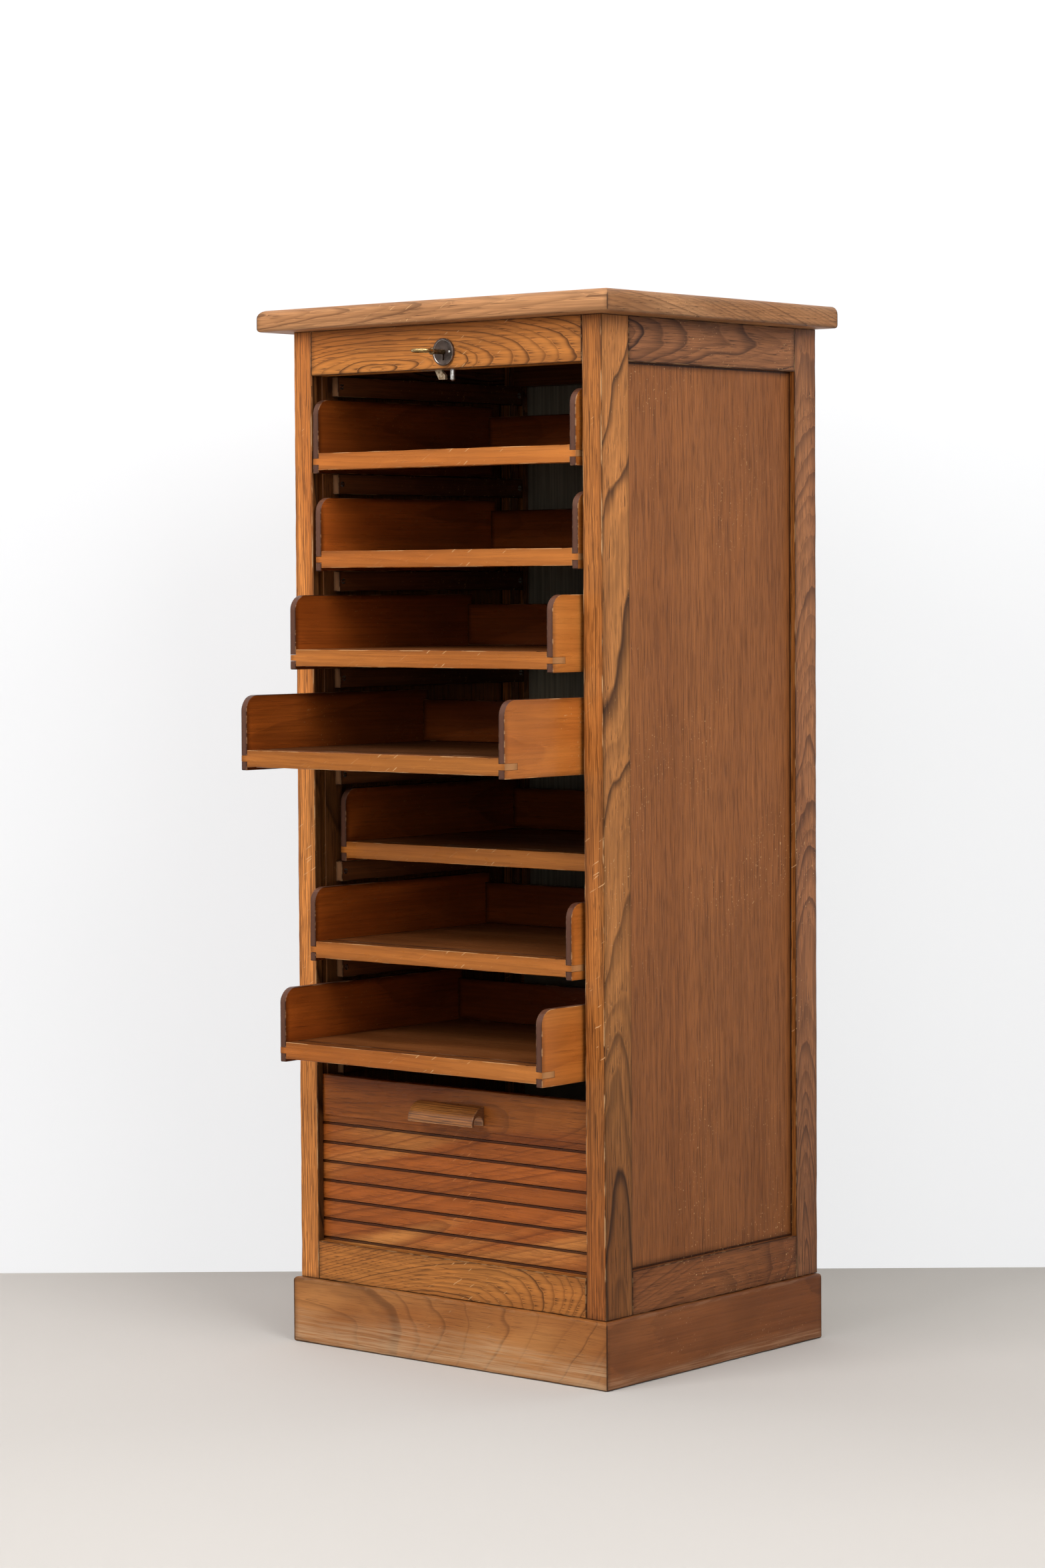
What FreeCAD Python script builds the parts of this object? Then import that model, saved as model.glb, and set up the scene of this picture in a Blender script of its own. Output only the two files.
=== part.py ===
import FreeCAD, Part

import math
import os

import Sketcher

# Roll-front filing cabinet of solid and veneered wood. Millimetres, +Z up, +Y to the back.
# x = 0 is the middle, y = 0 the front plane of the posts and z = 0 the floor.

SIZES = {
    # Carcass
    "cab_height": 1150,
    "cab_width": 440,
    "cab_depth": 376,
    "slab_thick": 24,
    "slab_over_front": 27,
    "slab_over_side": 30,
    "edging_width": 40,
    "edging_round_top": 9,
    "edging_round_low": 3.5,
    "plinth_height": 73,
    "plinth_proud": 6,
    "plinth_thick": 15,
    "plinth_round": 4,
    "post_width": 27,
    "post_depth": 45,
    "stile_depth": 39,
    "arris_round": 1.5,
    "lock_rail_height": 49,
    "lock_rail_thick": 27,
    "side_rail_thick": 20,
    "side_top_height": 48,
    "side_low_height": 47,
    "panel_thick": 6,
    "panel_recess": 7,
    "panel_tongue": 8,
    "panel_slack": 0.5,
    "back_thick": 6,
    "back_rebate": 18,
    "back_rail_thick": 25,
    "base_thick": 10,
    "base_lift": 6,
    "bottom_rail_height": 43,
    # Shutter and its grooves
    "groove_inset": 9,
    "groove_width": 8,
    "groove_depth": 9,
    "rear_groove_inset": 16,
    "bend_radius": 45,
    "bend_ease": 1,
    "track_run_lift": 10,
    "end_clear": 1,
    "slat_pitch": 21.5,
    "slat_gap": 0.6,
    "slat_thick": 6,
    "slat_bead": 2.4,
    "slat_bead_step": 1.3,
    "front_slats": 8,
    "stored_slats": 35,
    "canvas_thick": 0.7,
    "canvas_inset": 4,
    "lead_bottom": 249,
    "lead_height": 53,
    "lead_proud": 3,
    "lead_lip": 7.5,
    "lead_side_gap": 3,
    "lead_round": 2.4,
    "pull_length": 93,
    "pull_height": 21,
    "pull_reach": 20,
    "pull_lift": 15,
    "pull_lip": 3.6,
    "pull_plate": 2.2,
    "pull_hollow": 11,
    "pull_screw_gap": 60,
    "pull_screw_radius": 1.75,
    "pull_screw_head": 3.5,
    "pull_screw_length": 17,
    # Lock
    "lock_shift": 3,
    "lock_height": 18,
    "escutcheon_radius": 14.7,
    "escutcheon_thick": 3.4,
    "escutcheon_rim": 2.2,
    "escutcheon_dish": 1.4,
    "escutcheon_flat": 5.7,
    "escutcheon_bevel": 0.6,
    "keyhole_radius": 2.6,
    "keyhole_slot": 2.4,
    "keyhole_drop": 9,
    "keyhole_clear_rail": 0.6,
    "keyhole_clear_case": 0.2,
    "case_width": 62,
    "case_height": 36,
    "case_depth": 11,
    "case_wall": 1.5,
    "case_behind_face": 8,
    "case_off_centre": 17,
    "pin_radius": 2.8,
    "pin_drop": 12.5,
    "pin_bevel": 1.6,
    "seat_clear": 2,
    "hook_thick": 4,
    "hook_width": 9,
    "hook_drop": 10.5,
    "hook_pivot_off": 20,
    "hook_pivot_height": 13,
    "hook_lean": 6,
    "pivot_clear": 0.1,
    "key_radius": 2,
    "key_clear": 0.4,
    "key_reach": 23,
    "key_collar": 4,
    "key_collar_from": 1,
    "key_collar_slope": 0.75,
    "key_collar_width": 2,
    "key_bow_radius": 12.3,
    "key_bow_wire": 1.9,
    "key_bow_bevel": 0.9,
    "key_bit_length": 7.5,
    "key_bit_thick": 2,
    "key_bit_width": 4.4,
    # Trays
    "tray_home": 40,
    "tray_side_clear": 5,
    "tray_top_clear": 3.9,
    "tray_over_shutter": 21.1,
    "tray_side_thick": 8.4,
    "tray_corner": 17,
    "tray_rail_height": 19,
    "tray_rail_depth": 20.5,
    "tray_rail_lift": 3.4,
    "tray_tongue": 7,
    "tray_floor_thick": 5,
    "tray_floor_tongue": 4,
    "tray_back_height": 47.5,
    "tray_back_thick": 8.4,
    "tray_back_inset": 1.6,
    "runner_thick": 9.5,
    "runner_height": 22.3,
    "runner_front": 33,
    "runner_on_stile": 12,
    "runners": 8,
    # How far each tray, from the top one down, is pulled out
    "first_tray_out": 44,
    "second_tray_out": 41,
    "third_tray_out": 83,
    "fourth_tray_out": 161,
    "fifth_tray_out": 4,
    "sixth_tray_out": 55,
    "seventh_tray_out": 104,
}

TRAY_WORDS = ("first", "second", "third", "fourth", "fifth", "sixth", "seventh")

doc = FreeCAD.newDocument("tambour_cabinet")
nodes = []


class Size:
    """A length that knows its number and the spreadsheet formula that gives it."""

    def __init__(self, number, formula=None):
        self.number = float(number)
        self.formula = formula or "({})".format(repr(float(number)))

    def combined(self, other, sign, number):
        other = as_size(other)
        formula = "({} {} {})".format(self.formula, sign, other.formula)
        return Size(number(self.number, other.number), formula)

    def __add__(self, other):
        return self.combined(other, "+", lambda a, b: a + b)

    def __sub__(self, other):
        return self.combined(other, "-", lambda a, b: a - b)

    def __mul__(self, other):
        return self.combined(other, "*", lambda a, b: a * b)

    def __truediv__(self, other):
        return self.combined(other, "/", lambda a, b: a / b)

    def __radd__(self, other):
        return as_size(other) + self

    def __rsub__(self, other):
        return as_size(other) - self

    def __rmul__(self, other):
        return as_size(other) * self

    def __neg__(self):
        return Size(0) - self


def as_size(value):
    return value if isinstance(value, Size) else Size(value)


def make_sheet():
    """Write the driving dimensions to the sheet and return them by name."""
    sheet = doc.addObject("Spreadsheet::Sheet", "Dims")
    named = {}
    for row, (name, number) in enumerate(SIZES.items(), start=1):
        cell = "B{}".format(row)
        sheet.set("A{}".format(row), name)
        sheet.set(cell, str(number))
        sheet.setAlias(cell, name)
        named[name] = Size(number, "Dims." + name)
    doc.recompute()
    return named


D = make_sheet()


def bind(obj, prop, size):
    obj.setExpression(prop, as_size(size).formula)


def bind_place(obj, x=0, y=0, z=0):
    for axis, size in (("x", x), ("y", y), ("z", z)):
        bind(obj, "Placement.Base." + axis, size)


# Outlines

class Corner:
    """A corner of an outline, rounded where it has a radius and its two sides run along the axes."""

    def __init__(self, u, v, rounded=None):
        self.u = as_size(u)
        self.v = as_size(v)
        self.rounded = as_size(rounded) if rounded is not None else None


class Bend:
    """An arc of a given radius from the corner before it to the corner after it."""

    def __init__(self, radius, left):
        self.radius = as_size(radius)
        self.left = left


def stepped(corner, towards, radius):
    """The point on the way from one corner to the next where a rounding starts or ends."""
    du = towards.u.number - corner.u.number
    dv = towards.v.number - corner.v.number
    if abs(du) > abs(dv):
        return Corner(corner.u + radius * (1 if du > 0 else -1), corner.v)
    return Corner(corner.u, corner.v + radius * (1 if dv > 0 else -1))


def spread(outline):
    """Corners with a rounding become two corners with an arc between them."""
    corners = [item for item in outline if isinstance(item, Corner)]
    result = []
    for item in outline:
        if isinstance(item, Bend) or item.rounded is None:
            result.append(item)
            continue
        here = corners.index(item)
        before = corners[here - 1]
        after = corners[(here + 1) % len(corners)]
        cross = (item.u.number - before.u.number) * (after.v.number - item.v.number) - (
            item.v.number - before.v.number
        ) * (after.u.number - item.u.number)
        result.append(stepped(item, before, item.rounded))
        result.append(Bend(item.rounded, cross > 0))
        result.append(stepped(item, after, item.rounded))
    return result


def arc_centre(start, end, radius, left):
    """The centre of the shorter arc between two points; left says that it turns to the left."""
    middle = (start + end) / 2
    way = end - start
    half = way.Length / 2
    height = math.sqrt(max(radius * radius - half * half, 0))
    side = FreeCAD.Vector(-way.y, way.x, 0).normalize()
    return middle + side * (height if left else -height)


def add_edge(sketch, start, end, bend):
    """Add a line, or an arc where there is a bend, and return its number and its two end codes."""
    a = FreeCAD.Vector(start.u.number, start.v.number, 0)
    b = FreeCAD.Vector(end.u.number, end.v.number, 0)
    if bend is None:
        return sketch.addGeometry(Part.LineSegment(a, b), False), 1, 2
    centre = arc_centre(a, b, bend.radius.number, bend.left)
    circle = Part.Circle(centre, FreeCAD.Vector(0, 0, 1), bend.radius.number)
    first, last = (a, b) if bend.left else (b, a)
    angles = [math.atan2(p.y - centre.y, p.x - centre.x) for p in (first, last)]
    number = sketch.addGeometry(Part.ArcOfCircle(circle, angles[0], angles[1]), False)
    radius = sketch.addConstraint(Sketcher.Constraint("Radius", number, bend.radius.number))
    sketch.setExpression("Constraints[{}]".format(radius), bend.radius.formula)
    return (number, 1, 2) if bend.left else (number, 2, 1)


def fix_point(sketch, number, end, corner):
    for kind, size in (("DistanceX", corner.u), ("DistanceY", corner.v)):
        if abs(size.number) < 1e-9:
            axis = -2 if kind == "DistanceX" else -1
            sketch.addConstraint(Sketcher.Constraint("PointOnObject", number, end, axis))
            continue
        held = sketch.addConstraint(Sketcher.Constraint(kind, -1, 1, number, end, size.number))
        sketch.setExpression("Constraints[{}]".format(held), size.formula)


def draw(sketch, outline):
    """Draw a closed outline, with each corner held by two sizes and each arc by its radius."""
    items = spread(outline)
    edges = []
    count = len(items)
    for place, item in enumerate(items):
        if isinstance(item, Bend):
            continue
        following = items[(place + 1) % count]
        bend = following if isinstance(following, Bend) else None
        end = items[(place + 2) % count] if bend else following
        edges.append((item,) + add_edge(sketch, item, end, bend))
    for place, (corner, number, start, end) in enumerate(edges):
        _, after, after_start, _ = edges[(place + 1) % len(edges)]
        sketch.addConstraint(Sketcher.Constraint("Coincident", number, end, after, after_start))
        fix_point(sketch, number, start, corner)


def draw_circle(sketch, u, v, radius):
    centre = FreeCAD.Vector(as_size(u).number, as_size(v).number, 0)
    circle = Part.Circle(centre, FreeCAD.Vector(0, 0, 1), as_size(radius).number)
    number = sketch.addGeometry(circle, False)
    held = sketch.addConstraint(Sketcher.Constraint("Radius", number, as_size(radius).number))
    sketch.setExpression("Constraints[{}]".format(held), as_size(radius).formula)
    fix_point(sketch, number, 3, Corner(u, v))


def rectangle(u0, u1, v0, v1):
    return [Corner(u0, v0), Corner(u1, v0), Corner(u1, v1), Corner(u0, v1)]


# Pieces

PLANES = {"x": "YZ_Plane", "y": "XZ_Plane", "z": "XY_Plane"}


class Piece:
    """A PartDesign body built from outlines that are drawn across the x, y or z axis."""

    def __init__(self, name):
        self.body = doc.addObject("PartDesign::Body", name)
        self.body.Label = name
        self.last = None

    def origin_part(self, role):
        return [part for part in self.body.Origin.OriginFeatures if part.Role == role][0]

    def attach(self, obj, axis):
        obj.AttachmentSupport = [(self.origin_part(PLANES[axis]), "")]
        obj.MapMode = "FlatFace"

    def sketch(self, axis, at):
        """A sketch square to an axis, at a distance from the origin along it."""
        sketch = self.body.newObject("Sketcher::SketchObject", self.body.Name + "_outline")
        self.attach(sketch, axis)
        along = -as_size(at) if axis == "y" else as_size(at)
        bind(sketch, "AttachmentOffset.Base.z", along)
        return sketch

    def pad(self, axis, low, high, *outlines):
        """Fill the outlines between two places along an axis."""
        start = high if axis == "y" else low
        sketch = self.sketch(axis, start)
        for outline in outlines:
            draw(sketch, outline)
        return self.extrude("PartDesign::Pad", sketch, as_size(high) - low)

    def pad_round(self, axis, low, high, *circles):
        start = high if axis == "y" else low
        sketch = self.sketch(axis, start)
        for u, v, radius in circles:
            draw_circle(sketch, u, v, radius)
        return self.extrude("PartDesign::Pad", sketch, as_size(high) - low)

    def pocket(self, axis, low, high, *outlines):
        """Cut the outlines away between two places along an axis."""
        start = low if axis == "y" else high
        sketch = self.sketch(axis, start)
        for outline in outlines:
            draw(sketch, outline)
        return self.extrude("PartDesign::Pocket", sketch, as_size(high) - low)

    def pocket_round(self, axis, low, high, *circles):
        start = low if axis == "y" else high
        sketch = self.sketch(axis, start)
        for u, v, radius in circles:
            draw_circle(sketch, u, v, radius)
        return self.extrude("PartDesign::Pocket", sketch, as_size(high) - low)

    def extrude(self, kind, sketch, length):
        before = self.body.Shape.Volume if self.last else 0
        feature = self.body.newObject(kind, self.body.Name + "_feature")
        feature.Profile = sketch
        bind(feature, "Length", length)
        self.last = feature
        doc.recompute()
        change = self.body.Shape.Volume - before
        wanted = 1 if kind == "PartDesign::Pad" else -1
        if change * wanted <= 0:
            raise RuntimeError("{} changed nothing on {}".format(feature.Name, self.body.Name))
        return feature

    def revolve(self, outline):
        """Turn an outline of x and y round the y axis."""
        sketch = self.sketch("z", 0)
        draw(sketch, outline)
        feature = self.body.newObject("PartDesign::Revolution", self.body.Name + "_turned")
        feature.Profile = sketch
        feature.ReferenceAxis = (sketch, ["V_Axis"])
        feature.Angle = 360
        self.last = feature
        doc.recompute()
        return feature

    def repeat(self, features, axis, length, count):
        """Repeat features along an origin axis."""
        pattern = self.body.newObject("PartDesign::LinearPattern", self.body.Name + "_row")
        pattern.Originals = features
        pattern.Direction = (self.origin_part(axis), [""])
        bind(pattern, "Length", length)
        bind(pattern, "Occurrences", count)
        self.body.Tip = pattern
        self.last = pattern
        doc.recompute()
        return pattern

    def round_edges(self, chosen, radius):
        return self.dress_edges("PartDesign::Fillet", "Radius", chosen, radius)

    def bevel_edges(self, chosen, width):
        return self.dress_edges("PartDesign::Chamfer", "Size", chosen, width)

    def dress_edges(self, kind, size_name, chosen, size):
        """Round or bevel the edges that a test picks."""
        names = [
            "Edge{}".format(number)
            for number, edge in enumerate(self.last.Shape.Edges, start=1)
            if chosen(edge)
        ]
        if not names:
            raise RuntimeError("no edge to dress on " + self.body.Name)
        feature = self.body.newObject(kind, self.body.Name + "_edges")
        feature.Base = (self.last, names)
        bind(feature, size_name, size)
        self.last = feature
        doc.recompute()
        return feature

    def keep(self):
        nodes.append(self.body)
        return self.body


def edge_along(axis, **places):
    """A test for straight edges along an axis whose other coordinates are the given ones."""

    def chosen(edge):
        ends = [vertex.Point for vertex in edge.Vertexes]
        if len(ends) != 2:
            return False
        way = ends[1] - ends[0]
        if abs(way[axis]) < way.Length - 1e-6:
            return False
        middle = (ends[0] + ends[1]) / 2
        return all(abs(getattr(middle, name) - as_size(at).number) < 1e-4 for name, at in places.items())

    return chosen


def circle_round(axis, at):
    """A test for circles whose centre has the given coordinate."""

    def chosen(edge):
        return isinstance(edge.Curve, Part.Circle) and abs(edge.Curve.Center[axis] - at.number) < 1e-4

    return chosen


def either(*tests):
    return lambda edge: any(test(edge) for test in tests)


def group(name, members, y=0, z=0):
    """A node that holds several separate solids, placed as one."""
    compound = doc.addObject("Part::Compound", name)
    compound.Label = name
    compound.Links = members
    bind_place(compound, 0, y, z)
    nodes.append(compound)
    return compound


def shaped(name, shape):
    """A node whose shape comes from Part's own functions."""
    feature = doc.addObject("Part::Feature", name)
    feature.Label = name
    feature.Shape = shape
    nodes.append(feature)
    return feature


# Places that several pieces share

half = D["cab_width"] / 2
inner = half - D["post_width"]
depth = D["cab_depth"]
under_slab = D["cab_height"] - D["slab_thick"]
on_plinth = D["plinth_height"]
stile_front = depth - D["stile_depth"]
lock_rail_low = under_slab - D["lock_rail_height"]
panel_out = half - D["panel_recess"]
panel_in = panel_out - D["panel_thick"]
side_rail_in = half - D["side_rail_thick"]
groove_back = D["groove_inset"] + D["groove_width"]
rear_groove_back = depth - D["rear_groove_inset"]
rear_groove_front = rear_groove_back - D["groove_width"]
groove_floor = inner + D["groove_depth"]
slat_front = D["groove_inset"] + (D["groove_width"] - D["slat_thick"]) / 2
slat_back = slat_front + D["slat_thick"]
slat_end = groove_floor - D["end_clear"]
runner_back = stile_front + D["runner_on_stile"]
runner_inside = inner - D["runner_thick"]
low_tray_z = D["lead_bottom"] + D["lead_height"] + D["tray_over_shutter"]
tray_pitch = (lock_rail_low - low_tray_z) / len(TRAY_WORDS)
low_runner_z = low_tray_z - D["runner_height"]
tray_outer = inner - D["tray_side_clear"]
tray_inside = tray_outer - D["tray_side_thick"]
tray_depth = stile_front - D["tray_home"]
tray_side_height = tray_pitch - D["runner_height"] - D["tray_top_clear"]
lock_x = D["lock_shift"]
lock_z = lock_rail_low + D["lock_height"]


def mirrored(side, low, high):
    """The span between two distances from the middle, on the right (1) or the left (-1)."""
    return (as_size(low), as_size(high)) if side > 0 else (-as_size(high), -as_size(low))


def side_word(side):
    return "right" if side > 0 else "left"


# Top

def slab_section(outer, inside, towards):
    """The edging's section: large rounding above, small one below, square towards the panel."""
    corners = [
        Corner(inside, under_slab),
        Corner(outer, under_slab, D["edging_round_low"]),
        Corner(outer, D["cab_height"], D["edging_round_top"]),
        Corner(inside, D["cab_height"]),
    ]
    return corners if towards > 0 else corners[::-1]


def make_top():
    """A veneered panel with three solid edgings, mitred at the front corners."""
    out_x = half + D["slab_over_side"]
    out_y = -D["slab_over_front"]
    in_x = out_x - D["edging_width"]
    in_y = out_y + D["edging_width"]
    panel = Piece("top_panel")
    panel.pad("z", under_slab, D["cab_height"], rectangle(-in_x, in_x, in_y, depth))
    panel.keep()

    front = Piece("top_edging_front")
    front.pad("x", -out_x, out_x, slab_section(out_y, in_y, -1))
    for side in (1, -1):
        waste = [Corner(out_x * side, out_y), Corner(out_x * side, in_y), Corner(in_x * side, in_y)]
        front.pocket("z", under_slab, D["cab_height"], waste if side > 0 else waste[::-1])
    front.keep()

    for side in (1, -1):
        edging = Piece("top_edging_" + side_word(side))
        edging.pad("y", out_y, depth, slab_section(out_x * side, in_x * side, side))
        waste = [Corner(out_x * side, out_y), Corner(in_x * side, in_y), Corner(in_x * side, out_y)]
        edging.pocket("z", under_slab, D["cab_height"], waste if side > 0 else waste[::-1])
        edging.keep()


# Carcass frame

def make_posts():
    """Front posts with the shutter groove, a groove for the side panel and a rounded outer arris."""
    for side in (1, -1):
        low, high = mirrored(side, inner, half)
        post = Piece("front_post_" + side_word(side))
        post.pad("z", on_plinth, under_slab, rectangle(low, high, 0, D["post_depth"]))
        a, b = mirrored(side, inner, groove_floor)
        post.pocket("z", on_plinth, under_slab, rectangle(a, b, D["groove_inset"], groove_back))
        a, b = mirrored(side, panel_in, panel_out)
        cut_from = D["post_depth"] - D["panel_tongue"]
        low_z = on_plinth + D["side_low_height"] - D["panel_tongue"]
        high_z = under_slab - D["side_top_height"] + D["panel_tongue"]
        post.pocket("z", low_z, high_z, rectangle(a, b, cut_from, D["post_depth"]))
        arris = either(
            edge_along(2, x=half * side, y=0),
            edge_along(2, x=inner * side, y=0),
        )
        post.round_edges(arris, D["arris_round"])
        post.keep()


def make_stiles():
    """Rear stiles with the rear shutter groove, the panel groove and a rebate for the back."""
    for side in (1, -1):
        low, high = mirrored(side, inner, half)
        stile = Piece("rear_stile_" + side_word(side))
        stile.pad("z", on_plinth, under_slab, rectangle(low, high, stile_front, depth))
        a, b = mirrored(side, inner, groove_floor)
        stile.pocket("z", on_plinth, under_slab, rectangle(a, b, rear_groove_front, rear_groove_back))
        a, b = mirrored(side, inner, inner + D["back_rebate"])
        stile.pocket("z", on_plinth, under_slab, rectangle(a, b, depth - D["back_thick"], depth))
        a, b = mirrored(side, panel_in, panel_out)
        low_z = on_plinth + D["side_low_height"] - D["panel_tongue"]
        high_z = under_slab - D["side_top_height"] + D["panel_tongue"]
        stile.pocket("z", low_z, high_z, rectangle(a, b, stile_front, stile_front + D["panel_tongue"]))
        stile.keep()


def make_side_frames():
    """Rails and the thin recessed panel that they hold in grooves, on both sides."""
    front = D["post_depth"]
    for side in (1, -1):
        word = side_word(side)
        a, b = mirrored(side, side_rail_in, half)
        g, h = mirrored(side, panel_in, panel_out)
        for name, low, high in (
            ("top", under_slab - D["side_top_height"], under_slab),
            ("bottom", on_plinth, on_plinth + D["side_low_height"]),
        ):
            rail = Piece("side_{}_rail_{}".format(name, word))
            rail.pad("y", front, stile_front, rectangle(a, b, low, high))
            if name == "top":
                rail.pocket("y", front, stile_front, rectangle(g, h, low, low + D["panel_tongue"]))
            else:
                rail.pocket("y", front, stile_front, rectangle(g, h, high - D["panel_tongue"], high))
            rail.keep()
        reach = D["panel_tongue"] - D["panel_slack"]
        panel = Piece("side_panel_" + word)
        panel.pad(
            "x", g, h,
            rectangle(
                front - reach,
                stile_front + reach,
                on_plinth + D["side_low_height"] - reach,
                under_slab - D["side_top_height"] + reach,
            ),
        )
        panel.keep()


def make_cross_rails():
    """The thin bottom rail in front of the shutter's path, and the rear top rail."""
    rail = Piece("bottom_rail")
    top = on_plinth + D["bottom_rail_height"]
    rail.pad("y", 0, D["groove_inset"], rectangle(-inner, inner, on_plinth, top))
    rail.round_edges(edge_along(0, y=0, z=top), D["arris_round"])
    rail.keep()
    rear = Piece("rear_top_rail")
    back = depth - D["back_thick"]
    rear.pad("y", back - D["back_rail_thick"], back, rectangle(-inner, inner, lock_rail_low, under_slab))
    rear.keep()


def make_back_and_base():
    back = Piece("back_panel")
    reach = inner + D["back_rebate"]
    back.pad("y", depth - D["back_thick"], depth, rectangle(-reach, reach, on_plinth, under_slab))
    back.keep()
    base = Piece("base_board")
    side = half + D["plinth_proud"] - D["plinth_thick"]
    front = D["plinth_thick"] - D["plinth_proud"]
    base.pad(
        "z", D["base_lift"], D["base_lift"] + D["base_thick"],
        rectangle(-side, side, front, depth - D["plinth_thick"]),
    )
    base.keep()


def make_plinth():
    """Four boards that stand on the floor, mitred at the front, with a rounded top arris."""
    out_x = half + D["plinth_proud"]
    in_x = out_x - D["plinth_thick"]
    out_y = -D["plinth_proud"]
    in_y = out_y + D["plinth_thick"]
    top = on_plinth

    def section(outer, inside, towards):
        rounded = Corner(outer, top, D["plinth_round"])
        corners = [Corner(inside, 0), Corner(outer, 0), rounded, Corner(inside, top)]
        return corners if towards > 0 else corners[::-1]

    front = Piece("plinth_front")
    front.pad("x", -out_x, out_x, section(out_y, in_y, -1))
    for side in (1, -1):
        waste = [Corner(out_x * side, out_y), Corner(out_x * side, in_y), Corner(in_x * side, in_y)]
        front.pocket("z", 0, top, waste if side > 0 else waste[::-1])
    front.keep()
    for side in (1, -1):
        board = Piece("plinth_" + side_word(side))
        board.pad("y", out_y, depth, section(out_x * side, in_x * side, side))
        waste = [Corner(out_x * side, out_y), Corner(in_x * side, in_y), Corner(in_x * side, out_y)]
        board.pocket("z", 0, top, waste if side > 0 else waste[::-1])
        board.keep()
    back = Piece("plinth_back")
    back.pad("y", depth - D["plinth_thick"], depth, rectangle(-in_x, in_x, 0, top))
    back.keep()


# Runners

def make_runners():
    """Eight battens a side: the trays slide on them, and the top one holds the first tray down."""
    for side in (1, -1):
        a, b = mirrored(side, runner_inside, inner)
        runner = Piece("runners_" + side_word(side))
        high = low_runner_z + D["runner_height"]
        batten = runner.pad("x", a, b, rectangle(D["runner_front"], runner_back, low_runner_z, high))
        runner.repeat([batten], "Z_Axis", tray_pitch * (D["runners"] - 1), D["runners"])
        runner.keep()


# Shutter track: the groove goes down from the posts, round under the cabinet and up at the back

track_low = D["base_lift"] + D["base_thick"]
front_line = (D["groove_inset"] + groove_back) / 2
rear_line = (rear_groove_front + rear_groove_back) / 2
run_line = track_low + D["track_run_lift"]
bend_z = run_line + D["bend_radius"]
bend_front = front_line + D["bend_radius"]
bend_rear = rear_line - D["bend_radius"]


def make_track_boards():
    """Boards with the U-shaped groove, a little wider on the inside of the bends."""
    outer = D["bend_radius"] + D["groove_width"] / 2
    inside = D["bend_radius"] - D["groove_width"] / 2 - D["bend_ease"]
    board_side = half + D["plinth_proud"] - D["plinth_thick"]
    board_front = D["plinth_thick"] - D["plinth_proud"]
    board_back = depth - D["plinth_thick"]
    groove = [
        Corner(bend_front - outer, on_plinth),
        Corner(bend_front - outer, bend_z),
        Bend(outer, True),
        Corner(bend_front, bend_z - outer),
        Corner(bend_rear, bend_z - outer),
        Bend(outer, True),
        Corner(bend_rear + outer, bend_z),
        Corner(bend_rear + outer, on_plinth),
        Corner(bend_rear + inside, on_plinth),
        Corner(bend_rear + inside, bend_z),
        Bend(inside, False),
        Corner(bend_rear, bend_z - inside),
        Corner(bend_front, bend_z - inside),
        Bend(inside, False),
        Corner(bend_front - inside, bend_z),
        Corner(bend_front - inside, on_plinth),
    ]
    for side in (1, -1):
        a, b = mirrored(side, inner, board_side)
        board = Piece("track_board_" + side_word(side))
        board.pad("x", a, b, rectangle(board_front, board_back, track_low, on_plinth))
        a, b = mirrored(side, inner, groove_floor)
        board.pocket("x", a, b, groove)
        board.keep()


# Shutter

def make_lead_rail():
    """The thick first slat: a proud face with rounded ends, tongues for the grooves and a lower lip."""
    low = D["lead_bottom"]
    high = low + D["lead_height"]
    face = slat_front - D["lead_proud"]
    reach = inner - D["lead_side_gap"]
    rail = Piece("shutter_lead_rail")
    rail.pad("y", slat_front, slat_back, rectangle(-slat_end, slat_end, low, high))
    front = rectangle(-reach, reach, low + D["lead_lip"], high)
    plate = rail.pad("y", face, slat_front, front)
    ends = either(
        edge_along(2, x=reach, y=face),
        edge_along(2, x=-reach, y=face),
        edge_along(0, z=high, y=face),
    )
    rail.last = plate
    rail.round_edges(ends, D["lead_round"])
    for shift in (-1, 1):
        x = D["pull_screw_gap"] / 2 * shift
        z = low + D["pull_lift"] + D["pull_height"] / 2
        rail.pocket_round("y", face, slat_back, (x, z, D["pull_screw_radius"]))
        rail.pocket_round("y", slat_back - D["pull_screw_radius"], slat_back, (x, z, D["pull_screw_head"]))
    pin_hole = (lock_x, lock_y_line, D["pin_radius"] + D["key_clear"])
    rail.pocket_round("z", high - D["pin_drop"] - D["seat_clear"], high, pin_hole)
    slot = hook_slot(lock_x - D["hook_pivot_off"] - D["hook_width"])
    rail.pocket("z", high - D["hook_drop"] - D["seat_clear"], high, slot)
    rail.keep()


def hook_slot(from_x):
    """The slot that the hook swings in, as an outline in x and y, ending beside the pin."""
    reach = D["hook_thick"] / 2 + D["key_clear"]
    return rectangle(from_x, lock_x - D["pin_radius"] * 2, lock_y_line - reach, lock_y_line + reach)


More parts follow.
